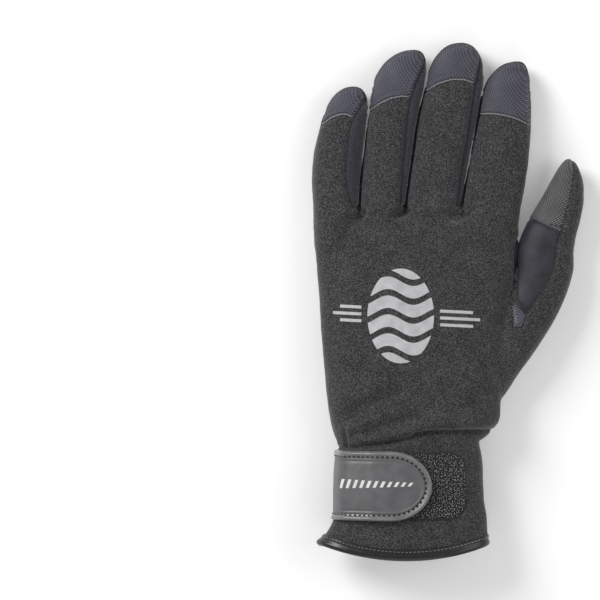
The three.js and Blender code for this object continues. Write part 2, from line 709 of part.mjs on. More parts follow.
// D-shaped ring: a straight bar at y = 0 and a bow from its ends.
function ringBar() {
  const half = (RING_WIDTH - RING_WIRE) / 2;
  const depth = RING_DEPTH - RING_WIRE;
  const loop = [];
  for (const share of [-RING_CORNER, 0, RING_CORNER]) loop.push([half * share, 0]);
  for (let step = 0; step <= BOW_STEPS; step += 1) {
    const angle = (Math.PI * step) / BOW_STEPS;
    loop.push([half * Math.cos(angle), depth * (BOW_START + (1 - BOW_START) * Math.sin(angle))]);
  }
  return bentBar(loop, RING_WIRE / 2, WIRE_SIDES);
}

// Webbing folded round the straight bar, drawn from the side and given its width.
function ringLoop() {
  const outer = LOOP_RADIUS;
  const inner = outer - WEBBING_THICKNESS;
  const shape = new THREE.Shape();
  shape.absarc(0, 0, outer, -Math.PI / 2, Math.PI / 2, false);
  shape.lineTo(-WEBBING_LENGTH, outer);
  shape.lineTo(-WEBBING_LENGTH, -outer);
  shape.lineTo(0, -outer);
  const eye = new THREE.Path();
  eye.absarc(0, 0, inner, -Math.PI / 2, Math.PI / 2, false);
  eye.lineTo(-WEBBING_LENGTH / 3, SEAM_GAP / 2);
  eye.lineTo(-WEBBING_LENGTH / 3, -SEAM_GAP / 2);
  shape.holes.push(eye);
  const bar = { depth: WEBBING_WIDTH, bevelEnabled: false, curveSegments: WIRE_SIDES };
  const geometry = new THREE.ExtrudeGeometry(shape, bar);
  geometry.translate(0, 0, -WEBBING_WIDTH / 2);
  geometry.rotateY(Math.PI / 2);
  geometry.rotateX(Math.PI / 2);
  return solidFrom(geometry);
}

const glove = new THREE.Group();

function addPiece(name, solid, finish) {
  const piece = new THREE.Mesh(geometryOf(mainBody(solid)), new THREE.MeshStandardMaterial(finish));
  piece.name = name;
  glove.add(piece);
  return piece;
}

// The shell loses each zone in turn, together with the seam gap round it.
let shell = gloveBody(0).subtract(gloveBody(WALL));
shell = shell.subtract(belowHem(BINDING_WIDTH + SEAM_GAP));

function takePiece(name, zone, finish) {
  addPiece(name, shell.intersect(zoneSolid(zone, 0)), finish);
  shell = shell.subtract(zoneSolid(zone, SEAM_GAP));
}

takePiece('cuff', cuffZone(), NEOPRENE);
for (const finger of FINGERS) {
  takePiece(`${finger.name}_cap`, capZone(finger), CAP_TWILL);
  takePiece(`${finger.name}_pad`, padZone(finger), PALM_TWILL);
  takePiece(`${finger.name}_insert`, underZone(finger, 1 - finger.insertEnd, 1 - finger.padEnd), STRETCH);
}
takePiece('thumb_pad', thumbPadZone(), PALM_TWILL);
takePiece('thumb_patch', patchZone(), CAP_TWILL);
takePiece('thumb_gusset', gussetZone(), GUSSET_STRETCH);
takePiece('palm_panel', palmZone(), PALM_TWILL);
for (const finger of FINGERS) takePiece(`${finger.name}_sidewall`, sidewallZone(finger), NEOPRENE);
addPiece('back_panel', shell, NEOPRENE);

const hem = belowHem(BINDING_WIDTH).subtract(belowHem(0));
const hemOuter = loft(cuffSections(-BINDING_PROUD), HAND_SIDES);
const hemInner = loft(cuffSections(WALL + BINDING_PROUD), HAND_SIDES);
addPiece('cuff_binding', hemOuter.subtract(hemInner).intersect(hem), BINDING_TAPE);

const patch = block(patchOutline(0), 0, FAR);
const patchTop = SEAM_GAP + PATCH_THICKNESS;
addPiece('hook_pad', cuffLayer(SEAM_GAP, patchTop).intersect(patch), HOOK_TAPE);
const strapTop = patchTop + SEAM_GAP + STRAP_THICKNESS;
const clearance = cuffLayer(0, patchTop + SEAM_GAP).intersect(block(patchOutline(SEAM_GAP), 0, FAR));
const strapPlan = block(strapOutline(0), 0, FAR);
const platePlan = block(strapOutline(WELT_WIDTH + SEAM_GAP), 0, FAR);
const weltPlan = strapPlan.subtract(block(strapOutline(WELT_WIDTH), 0, FAR));
const plate = cuffLayer(SEAM_GAP, strapTop).intersect(platePlan).subtract(clearance);
const welt = cuffLayer(SEAM_GAP, strapTop + WELT_PROUD).intersect(weltPlan).subtract(clearance);
addPiece('strap_plate', plate, STRAP_RUBBER);
addPiece('strap_welt', welt, WELT_RUBBER);

const holder = new THREE.Group();
const ringTab = addPiece('ring_tab', ringLoop(), WEBBING);
const ring = addPiece('d_ring', ringBar(), COATED_STEEL);
holder.add(ringTab, ring);
holder.position.set(-RING_PLACE * CUFF_WIDTH, RING_TUCK + WEBBING_LENGTH - CUFF_LENGTH, LOOP_RADIUS);
glove.add(holder);

// The origin goes under the middle of the glove, on the surface that it lies on.
const bounds = new THREE.Box3().setFromObject(glove);
glove.position.set(-(bounds.min.x + bounds.max.x) / 2, -(bounds.min.y + bounds.max.y) / 2, -bounds.min.z);

export default glove;
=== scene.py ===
"""Dresses the diving glove: cloth panels, seams, stitches, strap, ring, finishes and studio."""
import logging
import math
from dataclasses import dataclass
from enum import Enum
from typing import Callable, NamedTuple, Sequence

import bpy
import numpy as np
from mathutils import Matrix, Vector, kdtree, noise
from mathutils.bvhtree import BVHTree


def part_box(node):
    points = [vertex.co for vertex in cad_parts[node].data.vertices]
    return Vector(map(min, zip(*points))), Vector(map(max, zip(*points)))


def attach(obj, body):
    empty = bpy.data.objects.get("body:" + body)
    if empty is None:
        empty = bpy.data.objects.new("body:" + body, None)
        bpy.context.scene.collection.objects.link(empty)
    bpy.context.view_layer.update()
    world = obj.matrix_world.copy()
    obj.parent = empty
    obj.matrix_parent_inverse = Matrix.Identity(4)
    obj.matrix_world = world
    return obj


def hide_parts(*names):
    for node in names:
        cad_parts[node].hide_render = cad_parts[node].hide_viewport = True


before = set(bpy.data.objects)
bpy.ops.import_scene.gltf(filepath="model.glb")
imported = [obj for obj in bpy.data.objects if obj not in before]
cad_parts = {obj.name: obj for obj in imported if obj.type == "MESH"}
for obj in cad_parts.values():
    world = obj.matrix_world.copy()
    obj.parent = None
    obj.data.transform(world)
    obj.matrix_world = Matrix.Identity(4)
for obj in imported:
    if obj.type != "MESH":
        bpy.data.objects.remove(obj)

LOG = logging.getLogger("glove")
VOXEL, QUICK_VOXEL = 0.8, 1.1
FAR = 400.0
TINY = 1e-9
Array = np.ndarray
Field = Callable[[Array], Array]
Part = tuple[Array, Sequence[Array]]
Socket = bpy.types.NodeSocket
Material = bpy.types.Material


class Side(Enum):
    """Side of the glove that a fold lies on."""

    UPPER = 1
    UNDER = -1


# Sizes and tables

@dataclass(frozen=True)
class GloveSizes:
    """Lengths of the glove in millimetres, the same as those of the solid model."""

    hand_width: float = 104.0
    hand_length: float = 109.0
    hand_thickness: float = 31.0
    middle_length: float = 85.0
    finger_thickness: float = 20.0
    finger_gap: float = 0.5
    tip_rounding: float = 24.0
    tip_drop: float = 17.0
    thumb_length: float = 113.5
    thumb_width: float = 22.0
    thumb_thickness: float = 21.0
    thumb_root_along: float = 0.211
    thumb_root_across: float = 0.332
    cuff_length: float = 64.5
    cuff_width: float = 74.0
    cuff_thickness: float = 34.0
    hem_bow: float = 7.5
    hem_roundness: float = 1.75
    hem_shift: float = -0.08
    hem_lift: float = 5.3
    side_seam_height: float = 10.5
    pad_seam_height: float = 7.5
    seam_overlap: float = 1.0
    sole_dip: float = 0.9
    sidewall_start: float = 0.035
    root_reach: float = 0.02
    root_start: float = -0.2
    past_tip: float = 1.2
    steepness: float = 2.3
    strap_distance: float = 10.0
    strap_width: float = 34.5
    strap_reach: float = 47.0
    tab_length: float = 10.0
    ring_place: float = 0.33
    ring_tuck: float = 3.0


class EdgeRow(NamedTuple):
    """Lines between the fingers: shares of the hand width at a share of the middle finger's length."""

    along: float
    pinky_side: float
    pinky_ring: float
    ring_middle: float
    middle_index: float
    index_side: float


class Section(NamedTuple):
    """Cross-section of the hand: shares of its width and thickness at a share of its length."""

    along: float
    left: float
    right: float
    low: float
    high: float


class ThumbRow(NamedTuple):
    """Cross-section of the thumb: shares of its length, width and thickness."""

    along: float
    centre: float
    wide: float
    low: float
    high: float


class SeamRow(NamedTuple):
    """Thumb seam: shares of the half width on the upper side and the underside."""

    along: float
    upper: float
    under: float


class ShareRow(NamedTuple):
    """One share, such as a height or a seam's place, at a share of a finger's length."""

    along: float
    share: float


FINGER_EDGES = tuple(EdgeRow(*row) for row in (
    (-0.4, -0.48, -0.29, -0.07, 0.19, 0.47),
    (0, -0.5, -0.279, -0.058, 0.212, 0.498),
    (0.31, -0.5, -0.26, -0.024, 0.255, 0.538),
    (0.55, -0.455, -0.236, 0.005, 0.293, 0.549),
    (0.74, -0.41, -0.215, 0.04, 0.318, 0.552),
    (1, -0.375, -0.165, 0.08, 0.332, 0.54),
))
FINGER_HEIGHTS = (
    ShareRow(-0.4, 1.1), ShareRow(0, 1.1), ShareRow(0.3, 1), ShareRow(0.5, 1.03), ShareRow(0.75, 0.95),
    ShareRow(1, 0.84),
)
HAND_SECTIONS = tuple(Section(*row) for row in (
    (-0.055, -0.375, 0.262, 0.2, 0.8),
    (-0.03, -0.392, 0.318, 0.05, 0.95),
    (0, -0.401, 0.355, -0.02, 1.02),
    (0.04, -0.41, 0.382, -0.03, 1.05),
    (0.16, -0.43, 0.4, -0.03, 1.03),
    (0.44, -0.456, 0.449, -0.03, 0.98),
    (0.74, -0.477, 0.477, -0.03, 0.89),
    (0.92, -0.492, 0.49, -0.03, 0.75),
    (0.975, -0.486, 0.486, 0.04, 0.63),
    (1, -0.472, 0.472, 0.12, 0.52),
    (1.015, -0.445, 0.445, 0.2, 0.43),
))
# The cuff's sections run downwards from the wrist, and low is a share of the lift of the hem.
CUFF_SECTIONS = tuple(Section(*row) for row in (
    (-0.22, -0.49, 0.39, 0.2, 0.9),
    (0, -0.53, 0.4, -0.13, 0.92),
    (0.25, -0.54, 0.438, -0.13, 0.95),
    (0.45, -0.545, 0.441, 0.18, 0.98),
    (0.58, -0.547, 0.447, 0.66, 0.99),
    (0.7, -0.56, 0.462, 0.92, 1),
    (0.83, -0.625, 0.467, 1, 1),
    (0.9, -0.68, 0.466, 1, 0.99),
    (1.12, -0.7, 0.462, 1, 0.98),
))
THUMB_SECTIONS = tuple(ThumbRow(*row) for row in (
    (-0.07, -0.04, 1, 0.1, 0.95),
    (-0.02, -0.014, 1.14, -0.01, 1.03),
    (0.035, 0.004, 1.32, -0.02, 1.06),
    (0.154, 0.079, 1.45, -0.04, 1.12),
    (0.33, 0.187, 1.39, -0.04, 1.1),
    (0.502, 0.256, 1.32, -0.04, 1.05),
    (0.595, 0.263, 1.28, -0.04, 1.02),
    (0.674, 0.284, 1.2, -0.04, 1),
    (0.744, 0.311, 1.11, -0.03, 0.98),
    (0.815, 0.339, 0.95, 0, 0.94),
    (0.885, 0.358, 0.75, 0.05, 0.88),
    (0.945, 0.367, 0.5, 0.13, 0.78),
    (0.985, 0.37, 0.24, 0.25, 0.64),
    (1, 0.37, 0.07, 0.38, 0.5),
))
THUMB_SEAM = (
    SeamRow(0.3, -0.05, -0.55), SeamRow(0.42, 0.16, -0.5), SeamRow(0.52, 0.3, -0.42),
    SeamRow(0.66, 0.38, -0.36), SeamRow(0.8, 0.27, -0.34), SeamRow(0.94, 0.26, -0.3),
    SeamRow(1.03, 0.1, -0.1),
)
STRIP_PLACES = (0.0, 0.22, 0.48, 0.74, 1.0)


@dataclass(frozen=True)
class Finger:
    """One finger: its length and edges, and its seams as shares of the length back from the tip."""

    name: str
    length: float
    left: str
    right: str
    pull: float
    blunt: float
    cap: tuple[float, float, float]
    pad_start: float
    pad_end: float
    insert_end: float
    pad_inner: float
    pad_outer: float
    strip: tuple[float, ...]


FINGERS = (
    Finger("pinky", 63.0, "pinky_side", "pinky_ring", 0.15, 0.65, (0.31, 0.23, 0.26), 0.035, 0.47, 0.64,
           -0.90, 0.72, (0.78, 0.42, 0.32, 0.36, 1.15)),
    Finger("ring", 81.5, "pinky_ring", "ring_middle", 0.45, 0.85, (0.38, 0.307, 0.30), 0.092, 0.423, 0.712,
           -0.74, 0.56, (0.80, 0.70, 0.62, 0.58, 0.95)),
    Finger("middle", 85.0, "ring_middle", "middle_index", 0.1, 0.75, (0.29, 0.225, 0.25), 0.096, 0.485, 0.719,
           -0.78, 0.56, (0.84, 0.79, 0.77, 0.74, 0.92)),
    Finger("index", 75.5, "middle_index", "index_side", 0.65, 0.85, (0.353, 0.367, 0.43), 0.040, 0.473, 0.680,
           -0.80, 0.78, (1.3, 1.3, 1.3, 1.3, 1.3)),
)


# Geometry in the plan of the glove, millimetres

def read_table(rows: Sequence[NamedTuple], column: str, along: Array | float) -> Array:
    """Reads a column of a table smoothly at places between its rows.

    Args:
        rows: table rows in order, each with an along value.
        column: name of the column.
        along: places to read at.

    Returns:
        The values at those places, held at the ends of the table.
    """
    places = np.array([row.along for row in rows])
    values = np.array([getattr(row, column) for row in rows])
    slopes = np.diff(values) / np.diff(places)
    knots = np.concatenate([slopes[:1], (slopes[1:] + slopes[:-1]) / 2, slopes[-1:]])
    at = np.clip(np.asarray(along, float), places[0], places[-1])
    index = np.clip(np.searchsorted(places, at) - 1, 0, len(places) - 2)
    span = places[index + 1] - places[index]
    t = (at - places[index]) / span
    bend = t * t * (3 - 2 * t)
    rise = t * (1 - t) ** 2 * span * knots[index]
    fall = t * t * (1 - t) * span * knots[index + 1]
    return values[index] + (values[index + 1] - values[index]) * bend + rise - fall


def read_columns(rows: Sequence[NamedTuple], along: Array) -> list[Array]:
    """Reads every column of a table after its first one."""
    return [read_table(rows, name, along) for name in rows[0]._fields[1:]]


def unit(vectors: Array) -> Array:
    """The same directions with a length of one."""
    return vectors / np.maximum(np.linalg.norm(vectors, axis=1, keepdims=True), TINY)


def runs_along(line: Array) -> Array:
    """Length of a line up to each of its points."""
    return np.concatenate([[0], np.cumsum(np.linalg.norm(np.diff(line, axis=0), axis=1))])


def squarish(angles: Array, steepness: float) -> tuple[Array, Array]:
    """Cosines and sines of angles round a section that is squarer than an ellipse."""
    return tuple(np.sign(wave) * np.abs(wave) ** (2 / steepness) for wave in (np.cos(angles), np.sin(angles)))


def grid_quads(rows: int, sides: int, closed: bool = False, round_sides: bool = True) -> Array:
    """Quads of a grid of points.

    Args:
        rows: number of rows.
        sides: points in a row.
        closed: joins the last row to the first.
        round_sides: joins the last point of a row to its first.

    Returns:
        Four point numbers for each quad.
    """
    row = np.arange(rows if closed else rows - 1)[:, None]
    side = np.arange(sides if round_sides else sides - 1)[None]
    here, onward, beside = row * sides, (row + 1) % rows * sides, (side + 1) % sides
    return np.stack([here + side, here + beside, onward + beside, onward + side], axis=-1).reshape(-1, 4)


def skin_of(rings: Array, closed: bool = False) -> Part:
    """Skin over rings of points.

    Args:
        rings: points by bar, ring and side.
        closed: joins the last ring to the first, where it otherwise has two ends.

    Returns:
        Points and faces.
    """
    bars, rows, sides = rings.shape[:3]
    starts = np.arange(bars)[:, None, None] * rows * sides
    faces = [(grid_quads(rows, sides, closed) + starts).reshape(-1, 4)]
    if not closed:
        ends = np.stack([np.arange(sides)[::-1], (rows - 1) * sides + np.arange(sides)])
        faces.append((ends + starts).reshape(-1, sides))
    return rings.reshape(-1, 3), faces


def smoothstep(low: float, high: float, value: Array) -> Array:
    """Rises smoothly from 0 at low to 1 at high."""
    t = np.clip((value - low) / (high - low), 0, 1)
    return t * t * (3 - 2 * t)


def signed_distance(outline: Array, places: Array) -> Array:
    """Distance from plan places to an outline, negative inside.

    Args:
        outline: corners of a closed outline, one row each.
        places: plan places, one row each.

    Returns:
        One distance for each place.
    """
    nearest = np.full(len(places), np.inf)
    inside = np.zeros(len(places), bool)
    x, y = places[:, 0], places[:, 1]
    for (ax, ay), (bx, by) in zip(outline, np.roll(outline, -1, axis=0)):
        ex, ey = bx - ax, by - ay
        t = np.clip(((x - ax) * ex + (y - ay) * ey) / max(ex * ex + ey * ey, TINY), 0, 1)
        nearest = np.minimum(nearest, (x - ax - t * ex) ** 2 + (y - ay - t * ey) ** 2)
        crosses = (ay > y) != (by > y)
        if ay != by:
            inside ^= crosses & (x < ax + (y - ay) * ex / ey)
    return np.where(inside, -1.0, 1.0) * np.sqrt(nearest)


def line_distance(path: Array, places: Array) -> tuple[Array, Array]:
    """Distance from plan places to an open line, and how far along the line the nearest point is.

    Args:
        path: corners of the line, one row each.
        places: plan places, one row each.

    Returns:
        The distances, and the shares of the line's length.
    """
    nearest = np.full(len(places), np.inf)
    share = np.zeros(len(places))
    runs = runs_along(path)
    for a, b, start, end in zip(path[:-1], path[1:], runs[:-1], runs[1:]):
        edge = b - a
        t = np.clip((places - a) @ edge / max(edge @ edge, TINY), 0, 1)
        gap = np.linalg.norm(places - a - t[:, None] * edge, axis=1)
        share = np.where(gap < nearest, (start + t * (end - start)) / runs[-1], share)
        nearest = np.minimum(gap, nearest)
    return nearest, share


def curve_through(points: Sequence[Sequence[float]], steps: int = 8) -> Array:
    """Smooth line through a few chosen points.

    Args:
        points: the points, two or three numbers each.
        steps: pieces that each stretch is drawn with.

    Returns:
        The points of the smooth line.
    """
    line = np.array(points, float)
    if len(line) < 3:
        return line
    padded = np.vstack([2 * line[0] - line[1], line, 2 * line[-1] - line[-2]])
    out = []
    for a, b, c, d in zip(padded[:-3], padded[1:-2], padded[2:-1], padded[3:]):
        for t in np.arange(steps) / steps:
            out.append(0.5 * (2 * b + (c - a) * t + (2 * a - 5 * b + 4 * c - d) * t ** 2
                              + (3 * b - a - 3 * c + d) * t ** 3))
    return np.array([*out, line[-1]])


@dataclass(frozen=True)
class Pattern:
    """The glove's pattern: plan places, cross-sections and the zones that the seams divide."""

    sizes: GloveSizes = GloveSizes()

    def hand_place(self, across: float, up: float) -> list[float]:
        """Plan place from shares of the hand's width and length."""
        return [across * self.sizes.hand_width, up * self.sizes.hand_length]

    def edge(self, column: str, y: Array | float) -> Array:
        """Across place of a line between two fingers at a height y."""
        s = self.sizes
        return s.hand_width * read_table(FINGER_EDGES, column, (np.asarray(y) - s.hand_length) / s.middle_length)

    def finger_place(self, finger: Finger, along: float, across: float) -> list[float]:
        """Plan place from shares of a finger's length and half width."""
        y = self.sizes.hand_length + along * finger.length
        left, right = float(self.edge(finger.left, y)), float(self.edge(finger.right, y))
        return [(left + right) / 2 + across * (right - left) / 2, y]

    def thumb_place(self, along: float, across: float) -> list[float]:
        """Plan place from shares of the thumb's length and half width."""
        s = self.sizes
        centre = float(read_table(THUMB_SECTIONS, "centre", min(along, 1)))
        wide = float(read_table(THUMB_SECTIONS, "wide", min(along, 0.9)))
        x = s.thumb_root_across * s.hand_width + centre * s.thumb_length + across * wide * s.thumb_width / 2
        return [x, s.thumb_root_along * s.hand_length + along * s.thumb_length]

    def rounded(self, distance: Array, reach: float) -> Array:
        """Share of full width at distances from a blunt rounded end."""
        rest = 1 - np.clip(distance, 0, reach) / reach
        return (1 - rest ** self.sizes.steepness) ** (1 / self.sizes.steepness)

    def finger_sections(self, finger: Finger, inset: float) -> Array:
        """Cross-sections of a finger: rows of y, left, right, low, high."""
        s = self.sizes
        tip = s.hand_length + finger.length - inset
        rounding = s.tip_rounding * finger.blunt
        shaft = np.linspace(s.hand_length - 0.3 * finger.length, tip - rounding, 30)
        nose = tip - rounding * np.cos(np.linspace(0, math.pi / 2, 26)[1:]) ** 1.6
        nose[-1] = tip - 0.01
        y = np.concatenate([shaft, nose])
        left = self.edge(finger.left, y) + s.finger_gap / 2 + inset
        right = self.edge(finger.right, y) - s.finger_gap / 2 - inset
        taper = self.rounded(tip - y, rounding)
        half = (right - left) / 2 * taper
        middle = (left + right) / 2 + finger.pull * (1 - taper) * (right - left) / 2
        height = read_table(FINGER_HEIGHTS, "share", (y - s.hand_length) / finger.length)
        high = s.finger_thickness * height - inset
        low = inset - s.sole_dip
        centre, rise = (low + high) / 2, (high - low) / 2 * self.rounded(tip - y, s.tip_drop)
        return np.stack([y, middle - half, middle + half, centre - rise, centre + rise], axis=1)

    def hand_sections(self, inset: float) -> Array:
        """Cross-sections of the hand."""
        s = self.sizes
        along = np.concatenate([np.linspace(-0.055, 0.04, 14), np.linspace(0.06, 0.9, 36),
                                np.linspace(0.915, 1.015, 14)])
        left, right, low, high = read_columns(HAND_SECTIONS, along)
        y = along * s.hand_length - np.where(along > 0.9, inset, 0)
        return np.stack([y, left * s.hand_width + inset, right * s.hand_width - inset,
                         low * s.hand_thickness + inset, high * s.hand_thickness - inset], axis=1)

    def cuff_sections(self, inset: float, along: Array | None = None) -> Array:
        """Cross-sections of the cuff, upwards from below the hem."""
        s = self.sizes
        along = np.linspace(1.12, -0.22, 60) if along is None else along
        left, right, low, high = read_columns(CUFF_SECTIONS, along)
        return np.stack([-along * s.cuff_length, left * s.cuff_width + inset, right * s.cuff_width - inset,
                         low * s.hem_lift + inset, high * s.cuff_thickness - inset], axis=1)

    def thumb_sections(self, inset: float) -> Array:
        """Cross-sections of the thumb."""
        s = self.sizes
        along = np.concatenate([np.linspace(-0.07, 0.9, 56), np.linspace(0.91, 1.0, 14)])
        centre, wide, low, high = read_columns(THUMB_SECTIONS, along)
        middle = s.thumb_root_across * s.hand_width + centre * s.thumb_length
        half = np.maximum(wide * s.thumb_width / 2 - inset, 0.2)
        low, high = low * s.thumb_thickness + inset, high * s.thumb_thickness - inset
        level, rise = (low + high) / 2, np.maximum((high - low) / 2, 0.2)
        y = s.thumb_root_along * s.hand_length + along * (s.thumb_length - inset)
        return np.stack([y, middle - half, middle + half, level - rise, level + rise], axis=1)

    def hem_height(self, x: Array, up: float = 0.0) -> Array:
        """Height y of the hem, or of a line a distance up from it, at places across the cuff."""
        s = self.sizes
        share = np.asarray(x) / s.cuff_width - s.hem_shift
        return -s.cuff_length + s.hem_bow * np.minimum(1, (share * s.hem_roundness) ** 2) + up


Zone = list[tuple[list[list[float]], float, float]]


def zone_field(zone: Zone, points: Array) -> Array:
    """Distance field of a zone, negative inside: a union of plan outlines between two heights."""
    total = np.full(len(points), np.inf)
    for outline, low, high in zone:
        plan = signed_distance(np.asarray(outline, float), points[:, :2])
        part = np.maximum(plan, np.maximum(low - points[:, 2], points[:, 2] - high))
        total = np.minimum(total, part)
    return total


@dataclass(frozen=True)
class SeamPlan(Pattern):
    """Zones of the cloth pieces, cut in order from the whole glove."""

    def finger_zone(self, finger: Finger, start: Field, end: Field, inner: Field, outer: Field,
                    low: float, high: float) -> Zone:
        """Zone of a finger between seams across it and along it."""
        steps = np.linspace(0, 1, 25)
        place = self.finger_place
        right = [place(finger, a, outer(a)) for a in start(1) + (end(1) - start(1)) * steps]
        left = [place(finger, a, inner(a)) for a in start(-1) + (end(-1) - start(-1)) * steps]
        ends = []
        for edge in (start, end):
            bow = [(-0.5, edge(-0.5)), (0.0, edge(0)), (0.5, edge(0.5))]
            middle = [((inner(a) + outer(a)) / 2, (outer(a) - inner(a)) / 2, a, sign) for sign, a in bow]
            ends.append([place(finger, a, mid + sign * half) for mid, half, a, sign in middle])
        return [([*ends[0], *right, *ends[1][::-1], *left[::-1]], low, high)]

    def strip(self, finger: Finger) -> Callable[[float], float]:
        """Seam beside the back of a finger, as a share of its half width."""
        rows = [ShareRow(place, seam) for place, seam in zip(STRIP_PLACES, finger.strip)]
        return lambda along: float(read_table(rows, "share", along))

    def cap(self, finger: Finger) -> Zone:
        """Twill cap on the upper side of a fingertip, with a bowed seam."""
        seam = self.strip(finger)
        left, middle, right = finger.cap

        def start(sign: float) -> float:
            bow = (left + right) / 2 - middle
            return 1 - (middle + (right - left) / 2 * sign + bow * sign * sign)

        return self.finger_zone(finger, start, lambda sign: self.sizes.past_tip, lambda along: -1.0,
                                lambda along: min(1.0, seam(along)), self.sizes.side_seam_height, FAR)

    def pad(self, finger: Finger) -> Zone:
        """Twill pad under a fingertip, round at the front."""
        middle = (finger.pad_inner + finger.pad_outer) / 2
        reach = (finger.pad_outer - finger.pad_inner) / 2
        back, front = 1 - finger.pad_end, 1 - finger.pad_start
        reach_round = 0.55 * (front - back)
        outline = [self.finger_place(finger, back, middle + reach)]
        for angle in np.linspace(0, math.pi, 25):
            across = middle + 0.35 * finger.pull * math.sin(angle) + reach * math.cos(angle)
            along = front - reach_round + reach_round * math.sin(angle)
            outline.append(self.finger_place(finger, along, across))
        outline.append(self.finger_place(finger, back, middle - reach))
        return [(outline, -FAR, self.sizes.pad_seam_height)]

    def under(self, finger: Finger, start: float, end: float) -> Zone:
        """Band across the underside of a finger."""
        return self.finger_zone(finger, lambda sign: start, lambda sign: end, lambda along: finger.pad_inner,
                                lambda along: finger.pad_outer, -FAR, self.sizes.pad_seam_height)

    def sidewall(self, finger: Finger) -> Zone:
        """Side band of a finger with the strip beside the back seam."""
        s = self.sizes
        seam = self.strip(finger)
        start, end = (lambda sign: s.sidewall_start), (lambda sign: s.past_tip)
        lower = self.finger_zone(finger, start, end, lambda along: -1.0, lambda along: 1.0, -FAR,
                                 s.side_seam_height)
        upper = self.finger_zone(finger, start, end, lambda along: min(0.99, seam(along)), lambda along: 1.0,
                                 s.side_seam_height - s.seam_overlap, FAR)
        return [*lower, *upper]

    def thumb_seam(self, column: str, start: float, end: float) -> list[list[float]]:
        """Places along a seam of the thumb."""
        return [self.thumb_place(a, float(read_table(THUMB_SEAM, column, a)))
                for a in np.linspace(start, end, 25)]

    def palm_curve(self) -> list[list[float]]:
        """Curved edge of the palm at the thumb."""
        s = self.sizes
        shares = ((0.110, 0.128), (0.158, 0.286), (0.245, 0.361), (0.355, 0.405), (0.440, 0.426))
        rows = [[x * s.hand_width, s.thumb_root_along * s.hand_length + up * s.thumb_length] for x, up in shares]
        return curve_through(rows).tolist()

    def gusset_seam(self) -> list[list[float]]:
        """Seam of the stretch panel along the outer side of the thumb."""
        shares = ((-0.03, -0.40), (0.145, -0.66), (0.250, -0.75), (0.361, -0.72), (0.463, -0.50))
        return curve_through([self.thumb_place(a, b) for a, b in shares]).tolist()

    def thumb_pad(self) -> Zone:
        """Twill pad of the thumb, wrapped round the side that faces the fingers."""
        s = self.sizes
        place = self.thumb_place
        rim = [place(1.1, -1.2), place(0.74, -1.2)]
        middle = s.thumb_thickness / 2
        return [([*self.thumb_seam("upper", 0.67, 1.1), *rim], middle - s.seam_overlap, FAR),
                ([*self.thumb_seam("under", 0.67, 1.1), *rim], -FAR, middle)]

    def gusset(self) -> Zone:
        """Stretch panel of the thumb, from the crotch to the edge of the palm."""
        s = self.sizes
        place = self.thumb_place
        rim = [place(0.77, -1.08), place(0.62, -1.08)]
        crotch, foot = place(0.60, -1.08), place(0.374, -0.60)
        upper = [*self.thumb_seam("upper", 0.305, 0.70), *rim, crotch, foot]
        under = [*self.palm_curve()[::-1], *self.gusset_seam(), *self.thumb_seam("under", 0.52, 0.70), *rim, crotch]
        middle = s.thumb_thickness / 2
        return [(upper, middle - s.seam_overlap, FAR), (under, -FAR, middle)]

    def thumb_patch(self) -> Zone:
        """Small twill patch where the thumb seam meets the back of the hand."""
        place = self.thumb_place
        outline = [place(0.366, -0.67), place(0.25, -0.18), place(0.25, 0.09), place(0.298, 0)]
        s = self.sizes
        return [(outline, s.side_seam_height + s.seam_overlap, FAR)]

    def palm(self) -> Zone:
        """Twill palm with its tabs under the finger roots."""
        s = self.sizes
        heel = [self.hand_place(-0.60, 0.530), self.hand_place(-0.43, 0.500)]
        curve = self.palm_curve()
        top = s.hand_length * (1 + s.root_reach)
        rim = [[FAR, curve[-1][1]], [FAR, top], [-FAR, top], [-FAR, heel[0][1]]]
        roots = [part for finger in FINGERS for part in self.under(finger, s.root_start, 1 - finger.insert_end)]
        return [([*heel, *curve, *rim], -FAR, s.side_seam_height), *roots]

    def cuff(self) -> Zone:
        """Cuff below the fold of the wrist and the heel of the palm."""
        s = self.sizes
        place = self.hand_place
        fold = curve_through([place(-0.60, -0.095), place(-0.22, -0.070), place(-0.04, -0.035),
                              place(0.05, -0.008), place(0.60, -0.004)]).tolist()
        heel = [place(-0.60, 0.530), place(-0.43, 0.500), self.palm_curve()[0], self.gusset_seam()[0],
                place(0.34, 0.0), place(0.60, -0.030)]
        upper, under = ([[edge[0][0], -FAR], [edge[-1][0], -FAR], *edge[::-1]] for edge in (fold, heel))
        return [(upper, s.side_seam_height - s.seam_overlap, FAR), (under, -FAR, s.side_seam_height)]


# Surfaces and meshes

